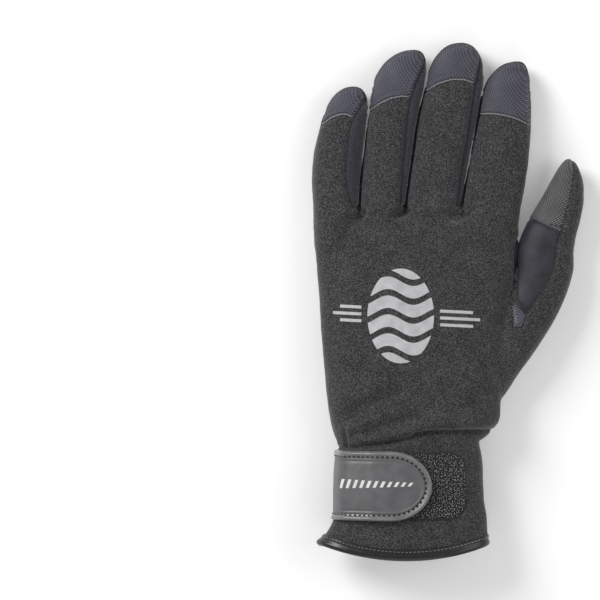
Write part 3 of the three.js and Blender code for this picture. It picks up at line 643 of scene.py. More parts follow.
@dataclass
class Seam:
    """A line on the cloth: its points and the cloth's outward directions there."""

    points: Array
    normals: Array
    closed: bool = False

    def length(self) -> float:
        """Length of the line in millimetres."""
        return float(runs_along(self.points)[-1])

    def chosen(self, keep: Array) -> "Seam":
        """The line through some of its points."""
        return Seam(self.points[keep], self.normals[keep])

    def lifted(self, height: float) -> "Seam":
        """An open line a height above this one."""
        return Seam(self.points + self.normals * height, self.normals)

    def spaced(self, step: float, smooth: int = 3) -> "Seam":
        """The same line smoothed and with evenly spaced points.

        Args:
            step: distance between points.
            smooth: rounds of smoothing.

        Returns:
            The new line.
        """
        points, normals = self.points.copy(), self.normals.copy()
        for _ in range(smooth):
            if self.closed:
                points = (np.roll(points, 1, 0) + 2 * points + np.roll(points, -1, 0)) / 4
            else:
                points[1:-1] = (points[:-2] + 2 * points[1:-1] + points[2:]) / 4
        if self.closed:
            points, normals = np.vstack([points, points[:1]]), np.vstack([normals, normals[:1]])
        runs = runs_along(points)
        count = max(2, int(round(runs[-1] / step)) + 1)
        at = np.linspace(0, runs[-1], count)
        if self.closed:
            at = at[:-1]
        points, normals = (np.stack([np.interp(at, runs, column) for column in rows.T], axis=1)
                           for rows in (points, normals))
        return Seam(points, unit(normals), self.closed)

    def tangents(self) -> Array:
        """Directions along the line."""
        if self.closed:
            along = np.roll(self.points, -1, 0) - np.roll(self.points, 1, 0)
        else:
            along = np.gradient(self.points, axis=0)
        return unit(along)


def crossings(faces: Array, values: Array) -> tuple[Array, Array, Array]:
    """Finds where a field crosses zero on the edges of triangles.

    Args:
        faces: triangles.
        values: one field value for each point, with near-zero ones set to zero.

    Returns:
        Crossing edges as point pairs, for each triangle corner the number of the crossing on the edge
        that starts there, or -1, and whether there is one.
    """
    nexts = np.roll(faces, -1, axis=1)
    crossing = values[faces] * values[nexts] < 0
    pairs = np.stack([faces[crossing], nexts[crossing]], axis=1)
    low, high = pairs.min(1), pairs.max(1)
    keys = low.astype(np.int64) * (len(values) + 1) + high
    _, first, inverse = np.unique(keys, return_index=True, return_inverse=True)
    number = np.full(faces.shape, -1)
    number[crossing] = inverse
    return np.stack([low[first], high[first]], axis=1), number, crossing


@dataclass
class Surface:
    """Open or closed triangle surface with a direction at each point."""

    points: Array
    normals: Array
    faces: Array

    def part(self, keep: Array) -> "Surface":
        """The chosen triangles of the surface."""
        return Surface(self.points, self.normals, self.faces[keep])

    def compact(self) -> "Surface":
        """Drops the points that no triangle uses."""
        used, faces = np.unique(self.faces, return_inverse=True)
        return Surface(self.points[used], self.normals[used], faces.reshape(-1, 3))

    def edges(self) -> Array:
        """The three edges of every triangle."""
        return np.concatenate([self.faces[:, pair] for pair in ([0, 1], [1, 2], [2, 0])])

    def zeros(self, edges: Array, values: Array) -> tuple[Array, Array]:
        """Points and directions on edges where a field is zero."""
        a, b = edges.T
        share = (values[a] / (values[a] - values[b]))[:, None]
        return tuple(rows[a] * (1 - share) + rows[b] * share for rows in (self.points, self.normals))

    def split(self, values: Array, snap: float = 0.05) -> tuple["Surface", "Surface"]:
        """Cuts the surface along the zero line of a field.

        Args:
            values: field value of each point, in millimetres.
            snap: values nearer to zero than this count as zero.

        Returns:
            The surface where the field is negative, and the rest, with the same points on the cut.
        """
        values = np.where(np.abs(values) < snap, 0.0, values)
        edges, number, crossing = crossings(self.faces, values)
        cuts, directions = self.zeros(edges, values)
        points, normals = np.vstack([self.points, cuts]), unit(np.vstack([self.normals, directions]))
        signs = np.sign(values)[self.faces]
        cut, low = crossing.any(axis=1), signs.min(1) < 0
        inside, outside = [self.faces[~cut & low]], [self.faces[~cut & ~low]]
        base = len(self.points)
        faces, number, signs = self.faces[cut], number[cut], signs[cut]
        for turn in range(3):
            f, n, s = (np.roll(rows, -turn, axis=1) for rows in (faces, number, signs))
            alone = (s[:, 0] * s[:, 1] < 0) & (s[:, 0] * s[:, 2] < 0)
            a, b, c = f[alone].T
            ab, ca = n[alone][:, 0] + base, n[alone][:, 2] + base
            low = s[alone][:, 0] < 0
            tips = np.stack([a, ab, ca], axis=1)
            rest = np.concatenate([np.stack([ab, b, c], axis=1), np.stack([ab, c, ca], axis=1)])
            twice = np.concatenate([low, low])
            inside += [tips[low], rest[~twice]]
            outside += [tips[~low], rest[twice]]
            through = (s[:, 0] == 0) & (s[:, 1] * s[:, 2] < 0)
            a, b, c = f[through].T
            bc = n[through][:, 1] + base
            low = s[through][:, 1] < 0
            first, second = np.stack([a, b, bc], axis=1), np.stack([a, bc, c], axis=1)
            inside += [first[low], second[~low]]
            outside += [first[~low], second[low]]
        return tuple(Surface(points, normals, np.concatenate(side)) for side in (inside, outside))

    def main_body(self, smallest: int = 60) -> tuple["Surface", "Surface"]:
        """Separates loose crumbs, left by a cut, from the surface.

        Args:
            smallest: number of triangles that a part needs to stay.

        Returns:
            The surface without crumbs, and the crumbs.
        """
        label = np.arange(len(self.points))
        for _ in range(400):
            lowest = label[self.faces].min(axis=1)
            new = label.copy()
            np.minimum.at(new, self.faces.ravel(), np.repeat(lowest, 3))
            new = new[new]
            if (new == label).all():
                break
            label = new
        groups = label[self.faces[:, 0]]
        names, counts = np.unique(groups, return_counts=True)
        keep = np.isin(groups, names[counts >= smallest])
        return self.part(keep), self.part(~keep)

    def border(self) -> Array:
        """Edges that belong to one triangle only, in the direction of that triangle."""
        edges = self.edges()
        keys = np.sort(edges, axis=1).astype(np.int64)
        keys = keys[:, 0] * (len(self.points) + 1) + keys[:, 1]
        _, first, counts = np.unique(keys, return_index=True, return_counts=True)
        return edges[first[counts == 1]]

    def walled(self, inner: Array, border: Array, closed: bool) -> Part:
        """The surface with walls at its border.

        Args:
            inner: a place below each point.
            border: the border's edges.
            closed: adds the inner side.

        Returns:
            Points and faces.
        """
        count = len(inner)
        a, b = border.T
        rim = np.stack([b, a, a + count, b + count], axis=1)
        inside = [self.faces[:, ::-1] + count] if closed else []
        return np.vstack([self.points, inner]), [self.faces, *inside, rim]

    def smooth_normals(self) -> Array:
        """Directions at the points, averaged over the triangles round each."""
        a, b, c = (self.points[self.faces[:, k]] for k in range(3))
        faces = np.cross(b - a, c - a)
        total = np.zeros_like(self.points)
        for k in range(3):
            np.add.at(total, self.faces[:, k], faces)
        return unit(total)

    def contour(self, values: Array, shortest: float = 4.0) -> list[Seam]:
        """Lines where a field is zero.

        Args:
            values: field value of each point.
            shortest: lines shorter than this are left out.

        Returns:
            The lines, longest first.
        """
        values = np.where(np.abs(values) < 1e-6, 1e-6, values)
        edges, number, crossing = crossings(self.faces, values)
        points, normals = self.zeros(edges, values)
        links: dict[int, list[int]] = {}
        for row in number[crossing.any(axis=1)]:
            a, b = (int(value) for value in row[row >= 0][:2])
            links.setdefault(a, []).append(b)
            links.setdefault(b, []).append(a)
        lines, seen = [], set()
        for start in sorted(links, key=lambda key: (len(links[key]) != 1, key)):
            if start in seen:
                continue
            chain, onward = [], [start]
            while onward:
                chain.append(onward[0])
                seen.add(onward[0])
                onward = [other for other in links[onward[0]] if other not in seen]
            closed = len(chain) > 2 and chain[0] in links[chain[-1]]
            line = Seam(points[chain], normals[chain], closed)
            if line.length() >= shortest:
                lines.append(line)
        return sorted(lines, key=lambda line: -line.length())


def link(name: str, data: bpy.types.ID) -> bpy.types.Object:
    """Adds an object to the scene."""
    thing = bpy.data.objects.new(name, data)
    bpy.context.scene.collection.objects.link(thing)
    return thing


class MeshMaker:
    """Gathers triangles and quads in millimetres and makes Blender objects of them in metres."""

    def __init__(self, shift: Array) -> None:
        """Keeps the shift from the pattern's frame to the model's, and makes the finishes."""
        self.shift = shift
        self.finishes = {name: finish.build() for name, finish in FINISHES.items()}
        self.pieces: list[bpy.types.Object] = []

    def make(self, name: str, parts: Sequence[Part], finish: str, nodes: Sequence[str] = (), slot: str = "",
             sharp: float = 40.0) -> None:
        """Makes one piece of the glove.

        Args:
            name: name of the piece.
            parts: points and a list of face arrays for each part.
            finish: name of its finish.
            nodes: solids of the model that the piece stands for.
            slot: the record's material slot, where it isn't the finish's name; it is not used.
            sharp: edges that turn more than this many degrees are drawn sharp.
        """
        points = np.vstack([part[0] for part in parts])
        starts = np.cumsum([0, *[len(part[0]) for part in parts]])
        blocks = [np.asarray(block) + start for (_, faces), start in zip(parts, starts) for block in faces
                  if len(block)]
        loops = np.concatenate([block.ravel() for block in blocks])
        counts = np.concatenate([np.full(len(block), block.shape[1]) for block in blocks])
        mesh = bpy.data.meshes.new(name)
        mesh.vertices.add(len(points))
        mesh.vertices.foreach_set("co", ((points + self.shift) / 1000).astype(np.float32).ravel())
        mesh.loops.add(len(loops))
        mesh.loops.foreach_set("vertex_index", loops.astype(np.int32))
        mesh.polygons.add(len(counts))
        mesh.polygons.foreach_set("loop_start", np.concatenate([[0], np.cumsum(counts)[:-1]]).astype(np.int32))
        mesh.polygons.foreach_set("loop_total", counts.astype(np.int32))
        mesh.update(calc_edges=True)
        mesh.validate(clean_customdata=False)
        mesh.polygons.foreach_set("use_smooth", np.ones(len(mesh.polygons), bool))
        mesh.set_sharp_from_angle(angle=math.radians(sharp))
        mesh.materials.append(self.finishes[finish])
        piece = link(name, mesh)
        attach(piece, "root")
        if nodes:
            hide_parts(*nodes)
        slot or finish
        self.pieces.append(piece)
        LOG.info("%s: %d faces", name, len(mesh.polygons))


def circles(along: Array, normals: Array, sides: int) -> Array:
    """Rings of unit directions square to a line.

    Args:
        along: directions of the line.
        normals: outward directions.
        sides: directions in a ring.

    Returns:
        Directions by ring and side.
    """
    across = unit(np.cross(along, normals))
    up = np.cross(across, along)
    angles = (2 * math.pi * np.arange(sides) / sides)[None, :, None]
    return across[:, None] * np.cos(angles) + up[:, None] * np.sin(angles)


def tube(seam: Seam, radius: float, sides: int) -> Part:
    """Round bar along a line."""
    rings = seam.points[:, None] + radius * circles(seam.tangents(), seam.normals, sides)
    return skin_of(rings[None], seam.closed)


def capsules(centres: Array, along: Array, normals: Array, length: float, radius: float) -> Part:
    """Short rounded bars that stand for stitches.

    Args:
        centres: middle of each stitch.
        along: direction of each stitch.
        normals: outward direction at each stitch.
        length: length of a stitch.
        radius: half its thickness.

    Returns:
        Points and faces.
    """
    ring = circles(along, normals, 6)
    up = np.cross(unit(np.cross(along, normals)), along)
    profile = ((-0.5, 0.35, -0.9), (-0.36, 0.9, -0.1), (0, 1, 0.35), (0.36, 0.9, -0.1), (0.5, 0.35, -0.9))
    rings = [(centres + along * place * length + up * lift * radius)[:, None] + radius * wide * ring
             for place, wide, lift in profile]
    return skin_of(np.stack(rings, axis=1))


def stitches(seam: Seam, pitch: float = 2.2, length: float = 1.6, radius: float = 0.24,
             lift: float = 0.05) -> Part:
    """A row of stitches along a line."""
    line = seam.spaced(pitch)
    return capsules(line.points + line.normals * lift, line.tangents(), line.normals, length, radius)


# The glove's cloth

@dataclass(frozen=True)
class Fold:
    """A crease or swelling along a short line in plan, in millimetres of the pattern's frame."""

    path: tuple[tuple[float, float], ...]
    depth: float
    width: float
    side: Side = Side.UPPER
    lip: float = 0.35

    def push(self, points: Array, normals: Array) -> Array:
        """Outward movement of each point.

        Args:
            points: points of the cloth.
            normals: outward directions there.

        Returns:
            Distances along the directions, negative into the crease.
        """
        gap, share = line_distance(curve_through(self.path, 5), points[:, :2])
        ends = np.clip(np.minimum(share, 1 - share) / 0.22, 0, 1) ** 0.7
        facing = smoothstep(-0.05, 0.35, normals[:, 2] * self.side.value)
        lip = self.lip * np.exp(-((gap - 2.0 * self.width) / (1.1 * self.width)) ** 2)
        return -self.depth * (np.exp(-(gap / self.width) ** 2) - lip) * ends * facing


# Creases of the back: the wrist, the soft folds above it, the finger roots and the knuckles.
UPPER_FOLDS = (
    Fold(((44, 0.8), (37, -0.2), (22, -0.7), (5, -0.9), (-4, -3.6), (-12, -5.6), (-24, -7.6),
          (-42, -9.2)), 2, 1.9, Side.UPPER, 0.25),
    Fold(((44, 7), (34, 5.2), (14, 5), (0, 3.6), (-12, 1)), -1.6, 4, Side.UPPER, 0),
    Fold(((-44, 3.8), (-30, 9.5), (-20, 14.5), (-6, 20.5)), 2.2, 3.8),
    Fold(((-40, -6), (-28, -1.5), (-14, 3.2), (8, 8.5)), 1.7, 2.8),
    Fold(((-36.1, 2), (-36, -3), (-35.8, -9)), 0.8, 0.9),
    Fold(((-33.6, -44), (-33.2, -50), (-32.8, -57.5)), 0.8, 0.9),
    Fold(((14, 10), (28, 13), (38, 20)), 0.8, 4),
    Fold(((-31, 104), (-27.5, 107.5), (-26.5, 112)), 1.7, 1.8),
    Fold(((-14, 106.5), (-7, 108), (-3, 111.5)), 1.4, 2),
    Fold(((12, 110), (18, 106), (22, 104)), 1.8, 1.8),
    Fold(((20, 106), (26, 108.5), (29, 112)), 1.3, 2),
    Fold(((44, 52), (43, 62), (45, 74)), 0.8, 4),
    Fold(((-48, 150), (-43, 148.5), (-38, 149)), 0.35, 2.2),
    Fold(((-25, 158), (-17, 156), (-9, 157.5)), 0.35, 2.4),
    Fold(((3, 163), (11, 161), (19, 162)), 0.35, 2.4),
    Fold(((31, 152), (40, 150.5), (50, 152.5)), 0.4, 2.4),
    Fold(((74, 96), (68, 93), (62, 93.5)), 0.5, 2.2),
)
# Creases of the palm side: arcs below each finger, the thumb's gusset and the heel.
UNDER_FOLDS = tuple(Fold(*row, Side.UNDER) for row in (
    (((48.4, 97.4), (41.4, 100.4), (28.4, 103.6)), 1.2, 2.2),
    (((22.4, 104.4), (16.4, 101.9), (10.4, 102.9), (5.4, 106.4)), 1.3, 2),
    (((-1.7, 107.4), (-7.7, 101.9), (-13.7, 100.9), (-19.7, 103.4)), 1.3, 2),
    (((-25.7, 103.4), (-33.7, 102.9), (-41.7, 105.4)), 1.1, 2.2),
    (((5, 101), (0, 96)), 0.8, 2.2),
    (((-22, 100), (-26, 95)), 0.7, 2.2),
    (((48, 84), (46, 76), (42, 70)), 1, 3.2),
    (((52, 66), (46, 62), (38, 61)), 1.4, 2.4),
    (((58, 58), (50, 54), (42, 54)), 1, 3),
    (((30, 44), (26, 36), (24, 28)), 0.7, 4),
    (((-30, 24), (-10, 16), (8, 14)), 0.7, 4),
    (((-34, 2), (-8, -4), (20, -2)), 1.3, 3.2),
))


class Body:
    """The whole glove as one smooth closed surface, before it is cut into its pieces."""

    INSET = 1.0
    SPREAD = 0.5
    SIDES = 72
    FLOOR_SOFTNESS = 0.9
    RELAX_ROUNDS = 6
    SMALLEST_SKIN = 5000
    WAVES = 0.45
    RIPPLES = 0.16

    def __init__(self, pattern: Pattern, folds: Sequence[Fold]) -> None:
        """Keeps the pattern and the folds."""
        self.pattern = pattern
        self.folds = folds

    def loft(self, sections: Array) -> tuple[Array, Array, list[Array]]:
        """Closed skin through cross-sections; returns its points, quads and end caps."""
        across, up = squarish(2 * math.pi * np.arange(self.SIDES) / self.SIDES, self.pattern.sizes.steepness)
        y, left, right, low, high = sections.T[:, :, None]
        x = (left + right) / 2 + (right - left) / 2 * across
        z = (low + high) / 2 + (high - low) / 2 * up
        points = np.stack([x, np.repeat(y, self.SIDES, 1), z], axis=-1).reshape(-1, 3)
        quads = grid_quads(len(sections), self.SIDES)[:, [0, 3, 2, 1]]
        top = (len(sections) - 1) * self.SIDES
        return points, quads, [np.arange(self.SIDES), top + np.arange(self.SIDES)[::-1]]

    def join(self, voxel: float) -> Surface:
        """Joins the lofts of hand, cuff, thumb and fingers into one skin."""
        p = self.pattern
        lofts = [p.hand_sections(self.INSET), p.cuff_sections(self.INSET), p.thumb_sections(self.INSET)]
        lofts += [p.finger_sections(finger, self.INSET) for finger in FINGERS]
        points, faces, start = [], [], 0
        for sections in lofts:
            skin, quads, caps = self.loft(sections)
            points.append(skin)
            faces += (quads + start).tolist() + [(cap + start).tolist() for cap in caps]
            start += len(skin)
        mesh = bpy.data.meshes.new("body_draft")
        mesh.from_pydata(np.vstack(points).tolist(), [], faces)
        draft = link("body_draft", mesh)
        remesh = draft.modifiers.new("join", "REMESH")
        remesh.mode = "VOXEL"
        remesh.voxel_size = voxel
        skin = draft.evaluated_get(bpy.context.evaluated_depsgraph_get()).to_mesh()
        out = np.empty(len(skin.vertices) * 3)
        skin.vertices.foreach_get("co", out)
        out = out.reshape(-1, 3)
        skin.calc_loop_triangles()
        triangles = np.empty(len(skin.loop_triangles) * 3, np.int32)
        skin.loop_triangles.foreach_get("vertices", triangles)
        triangles = triangles.reshape(-1, 3).astype(np.int64)
        bpy.data.objects.remove(draft)
        bpy.data.meshes.remove(mesh)
        return Surface(out, out * 0, triangles).main_body(self.SMALLEST_SKIN)[0].compact()

    def relax(self, surface: Surface, rounds: int, share: float = 0.5) -> None:
        """Smooths a surface in place by moving each point towards its neighbours."""
        starts, ends = surface.edges().T
        size = len(surface.points)
        count = np.bincount(starts, minlength=size).astype(float)
        for _ in range(rounds):
            middle = np.stack([np.bincount(starts, weights=column[ends], minlength=size)
                               for column in surface.points.T], axis=1)
            surface.points += share * (middle / count[:, None] - surface.points)

    def build(self, voxel: float) -> Surface:
        """Builds the finished skin.

        Args:
            voxel: fineness of the join in millimetres.

        Returns:
            The skin, lying on the floor, with its folds.
        """
        surface = self.join(voxel)
        self.relax(surface, self.RELAX_ROUNDS)
        surface.normals = surface.smooth_normals()
        sideways = np.hypot(surface.normals[:, 0], surface.normals[:, 1])
        surface.points += surface.normals * (self.INSET + 0.05 + self.SPREAD * sideways)[:, None]
        surface.normals = surface.smooth_normals()
        push = np.zeros(len(surface.points))
        for fold in self.folds:
            push += fold.push(surface.points, surface.normals)
        wide = np.array([noise.noise(Vector(point) * 0.05) for point in surface.points])
        fine = np.array([noise.noise(Vector(point) * 0.19 + Vector((7.0, 3.0, 1.0))) for point in surface.points])
        push += self.WAVES * wide + self.RIPPLES * fine
        surface.points += surface.normals * push[:, None]
        z, soft = surface.points[:, 2], self.FLOOR_SOFTNESS
        surface.points[:, 2] = (z + np.sqrt(z * z + soft * soft)) / 2
        self.relax(surface, 1)
        surface.normals = surface.smooth_normals()
        LOG.info("skin: %d triangles", len(surface.faces))
        return surface


@dataclass(frozen=True)
class SeamLook:
    """How the cloth sinks at a seam, swells beside it and is grooved a little inside it, in millimetres."""

    depth: float = 0.75
    width: float = 1.0
    swell: float = 0.0
    groove: float = 0.0


class Panel:
    """One cloth piece: its part of the skin, sunk at its seams and given a thickness."""

    WALL = 1.6
    GROOVE_INSET = 3.2

    def __init__(self, name: str, skin: Surface, look: SeamLook, slot: str) -> None:
        """Keeps the piece's skin and works out its distance to the seams."""
        self.name = name
        self.look = look
        self.slot = slot
        # The finger sidewalls take a lighter bluish copy of the jersey, which is painted sheen.
        # The thumb pad takes a darker copy of the palm twill, which is painted shade.
        self.finish = {"thumb_pad": "thumb_twill_painted_shade"}.get(name, "sidewall" if name.endswith("sidewall") else slot)
        self.base = skin.compact()
        self.border = self.base.border()
        self.distance = self.seam_distance()
        pucker = np.array([noise.noise(Vector(point) * 0.55) for point in self.base.points])
        sink = look.depth * np.exp(-(self.distance / look.width) ** 2)
        sink += 0.12 * pucker * np.exp(-(self.distance / 3.0) ** 2) * smoothstep(0, 0.8, self.distance)
        upward = smoothstep(0.15, 0.6, self.base.normals[:, 2])
        sink -= look.swell * upward * smoothstep(0.6, 2.6, self.distance)
        sink += look.groove * np.exp(-((self.distance - self.GROOVE_INSET) / 0.6) ** 2)
        base = self.base
        self.outer = Surface(base.points - base.normals * sink[:, None], base.normals, base.faces)

    def seam_distance(self) -> Array:
        """Distance of each point to the nearest edge of the piece."""
        ends = np.unique(self.border)
        if not len(ends):
            return np.full(len(self.base.points), FAR)
        a, b = self.base.points[self.border[:, 0]], self.base.points[self.border[:, 1]]
        samples = np.vstack([self.base.points[ends], (a + b) / 2])
        tree = kdtree.KDTree(len(samples))
        for index, point in enumerate(samples):
            tree.insert(point, index)
        tree.balance()
        return np.array([tree.find(point)[2] for point in self.base.points])

    def parts(self) -> list[Part]:
        """Outer skin, inner skin and the walls at the seams."""
        inner = self.base.points - self.base.normals * self.WALL
        return [self.outer.walled(inner, self.border, True)]


class Cloth:
    """Cuts the skin into its panels in the order of the solid model, and remembers the seams."""

    CRUMB = 60

    def __init__(self, plan: SeamPlan, skin: Surface) -> None:
        """Cuts off what lies below the hem and keeps the rest.

        Args:
            plan: zones of the pieces.
            skin: skin of the whole glove.
        """
        self.plan = plan
        hem = plan.hem_height(skin.points[:, 0], 0.8)
        _, self.rest = skin.split(skin.points[:, 1] - hem)
        self.rest = self.rest.compact()
        self.panels: dict[str, Panel] = {}

    def take(self, name: str, zone: Zone, slot: str, look: SeamLook = SeamLook()) -> Panel:
        """Cuts a zone out of what is left of the skin.

        Args:
            name: name of the piece.
            zone: its zone.
            slot: the record's material slot.
            look: how its seams sink.

        Returns:
            The piece.
        """
        inside, outside = self.rest.split(zone_field(zone, self.rest.points))
        inside, crumbs = inside.main_body(self.CRUMB)
        outside.faces = np.concatenate([outside.faces, crumbs.faces])
        self.panels[name] = Panel(name, inside, look, slot)
        self.rest = outside.compact()
        return self.panels[name]

    def cut_all(self) -> None:
        """Cuts every panel, and leaves the back as the last one."""
        plan = self.plan
        self.take("cuff", plan.cuff(), "neoprene")
        for finger in FINGERS:
            self.take(f"{finger.name}_cap", plan.cap(finger), "cap_twill", SeamLook(0.9, 1.0, 0.0, 0.4))
            self.take(f"{finger.name}_pad", plan.pad(finger), "palm_twill", SeamLook(0.6, 0.9))
            self.take(f"{finger.name}_insert", plan.under(finger, 1 - finger.insert_end, 1 - finger.pad_end),
                      "stretch_insert", SeamLook(0.7, 1.6))
        self.take("thumb_pad", plan.thumb_pad(), "palm_twill", SeamLook(0.6, 0.9))
        self.take("thumb_patch", plan.thumb_patch(), "cap_twill", SeamLook(0.35, 0.7))
        self.take("thumb_gusset", plan.gusset(), "stretch_panel")
        self.take("palm_panel", plan.palm(), "palm_twill", SeamLook(0.6, 0.9))
        for finger in FINGERS:
            self.take(f"{finger.name}_sidewall", plan.sidewall(finger), "neoprene", SeamLook(1.4, 1.2, 0.5))
        back, _ = self.rest.main_body(self.CRUMB)
        self.panels["back_panel"] = Panel("back_panel", back, SeamLook(1.0, 1.2), "neoprene")


# Finishes

def srgb(value: int) -> tuple[float, float, float, float]:
    """Linear colour of an sRGB hex value."""
    shares = [((value >> shift) & 255) / 255 for shift in (16, 8, 0)]
    linear = [share / 12.92 if share <= 0.04045 else ((share + 0.055) / 1.055) ** 2.4 for share in shares]
    return (*linear, 1.0)


class Shader:
    """A material under construction, with coordinates in millimetres."""

    TILT = 40.0
    RIB_SCALE = 0.3142

    def __init__(self, name: str) -> None:
        """Starts a material with a principled surface."""
        self.material = bpy.data.materials.new(name)
        self.material.use_nodes = True
        self.tree = self.material.node_tree
        self.tree.nodes.clear()
        self.output = self.add("ShaderNodeOutputMaterial")
        self.surface = self.add("ShaderNodeBsdfPrincipled")
        self.tree.links.new(self.surface.outputs[0], self.output.inputs["Surface"])
        coordinates = self.add("ShaderNodeTexCoord")
        self.place = self.add("ShaderNodeMapping", {"Scale": (1000.0, 1000.0, 1000.0)},
                              {"Vector": coordinates.outputs["Object"]}).outputs[0]

    def add(self, kind: str, settings: dict | None = None, links: dict | None = None) -> bpy.types.Node:
        """Adds a node.

        Args:
            kind: type of the node.
            settings: socket values by name or number, or properties of the node.
            links: sources by socket name or number.

        Returns:
            The node.
        """
        node = self.tree.nodes.new(kind)
        for key, value in (settings or {}).items():
            if isinstance(key, int):
                node.inputs[key].default_value = value
            elif hasattr(node, key):
                setattr(node, key, value)
            else:
                node.inputs[key].default_value = value
        for key, source in (links or {}).items():
            self.tree.links.new(source, node.inputs[key])
        return node

    def noise(self, size: float, detail: float = 2.0) -> Socket:
        """Soft noise with grains of about a size in millimetres."""
        return self.add("ShaderNodeTexNoise", {"Scale": 1 / size, "Detail": detail, "Roughness": 0.5},
                        {"Vector": self.place}).outputs[0]

    def cells(self, size: float) -> Socket:
        """Random value for each cell of a size in millimetres."""
        node = self.add("ShaderNodeTexVoronoi", {"Scale": 1 / size, "Randomness": 1.0}, {"Vector": self.place})
        return self.add("ShaderNodeSeparateColor", None, {0: node.outputs["Color"]}).outputs[0]

    def wave(self, pitch: float, angle: float, wobble: float) -> Socket:
        """Ribs of a pitch in millimetres that run at an angle in plan, tilted so that steep sides have them."""
        turn = {"Rotation": (0.0, math.radians(self.TILT), math.radians(angle))}
        turned = self.add("ShaderNodeMapping", turn, {"Vector": self.place}).outputs[0]
        settings = {"Scale": self.RIB_SCALE / pitch, "Distortion": wobble, "Detail": 1.0, "Detail Scale": 1.0}
        return self.add("ShaderNodeTexWave", settings, {"Vector": turned}).outputs["Fac"]

    def sum(self, operation: str, first: Socket, *others: Socket | float) -> Socket:
        """Arithmetic on values and numbers."""
        node = self.add("ShaderNodeMath", {"operation": operation}, {0: first})
        for index, other in enumerate(others, 1):
            if isinstance(other, float):
                node.inputs[index].default_value = other
            else:
                self.tree.links.new(other, node.inputs[index])
        return node.outputs[0]

    def blend(self, first: Socket, more: float, second: Socket, less: float) -> Socket:
        """Adds shares of two values."""
        return self.sum("ADD", self.sum("MULTIPLY", first, more), self.sum("MULTIPLY", second, less))

    def ramp(self, value: Socket, stops: Sequence[tuple[float, int]]) -> Socket:
        """Colour read from a row of places and sRGB values."""
        node = self.add("ShaderNodeValToRGB", None, {0: value})
        band = node.color_ramp
        while len(band.elements) < len(stops):
            band.elements.new(0.5)
        for element, (place, colour) in zip(band.elements, stops):
            element.position = place
            element.color = srgb(colour)
        return node.outputs[0]

    def mix(self, share: Socket, first: Socket, second: Socket) -> Socket:
        """Mixes two colours."""
        return self.add("ShaderNodeMix", {"data_type": "RGBA"}, {0: share, 6: first, 7: second}).outputs[2]

    def bump(self, height: Socket, depth: float) -> None:
        """Raises the surface by a height field, with a depth in millimetres."""
        node = self.add("ShaderNodeBump", {"Strength": 1.0, "Distance": depth / 1000}, {"Height": height})
        self.tree.links.new(node.outputs[0], self.surface.inputs["Normal"])

    def colour(self, source: Socket) -> None:
        """Sets the colour of the surface."""
        self.tree.links.new(source, self.surface.inputs["Base Color"])

    def settle(self, **values: float) -> None:
        """Sets plain numbers on the surface, named with underscores for spaces."""
        for name, value in values.items():
            self.surface.inputs[name.replace("_", " ")].default_value = value


@dataclass(frozen=True)
class Finish:
    """A finish of the glove, named for its real material."""

    name: str

    def dress(self, s: Shader) -> None:
        """Sets colour, relief and gloss."""

    def build(self) -> Material:
        """Makes the material."""
        shader = Shader(self.name)
        self.dress(shader)
        return shader.material


@dataclass(frozen=True)
class Jersey(Finish):
    """Black nylon jersey bonded to thin neoprene foam: tiny knit stitches that catch light as specks."""

    name: str = "jersey_faced_neoprene"
    dark: int = 0x18181A
    middle: int = 0x2D2D2E
    light: int = 0x747476
    grain: float = 0.26
    sheen: float = 0.35

    def dress(self, s: Shader) -> None:
        """Sets colour, relief and gloss."""
        specks = s.blend(s.cells(self.grain), 0.62, s.noise(self.grain * 1.4), 0.5)
        specks = s.sum("ADD", specks, s.sum("MULTIPLY_ADD", s.noise(9.0, 3.0), 0.16, -0.08))
        s.colour(s.ramp(specks, ((0.30, self.dark), (0.58, self.middle), (0.98, self.light))))
        s.bump(specks, 0.10)
        s.settle(Roughness=0.9, Sheen_Weight=self.sheen, Sheen_Roughness=0.4, Specular_IOR_Level=0.3)


@dataclass(frozen=True)
class Twill(Finish):
    """Coated cloth embossed with fine diagonal ribs, each broken into short floats."""

    dark: int
    middle: int
    light: int
    pitch: float = 0.95
    angle: float = 52.0
    roughness: float = 0.62
    sheen: float = 0.1

    def dress(self, s: Shader) -> None:
        """Sets the embossed ribs. The real ones are about 0.6 mm apart and are drawn a little coarser."""
        ribs = s.wave(self.pitch, self.angle, 0.25)
        floats = s.wave(self.pitch * 1.15, self.angle - 78.0, 0.2)
        cloth = s.sum("MULTIPLY", ribs, s.sum("MULTIPLY_ADD", floats, 0.55, 0.45))
        tone = s.sum("ADD", s.sum("MULTIPLY", cloth, 0.75), s.sum("MULTIPLY_ADD", s.noise(7.0, 4.0), 0.34, -0.05))
        s.colour(s.ramp(tone, ((0.12, self.dark), (0.48, self.middle), (0.92, self.light))))
        s.bump(cloth, 0.14)
        s.settle(Roughness=self.roughness, Sheen_Weight=self.sheen, Specular_IOR_Level=0.45)


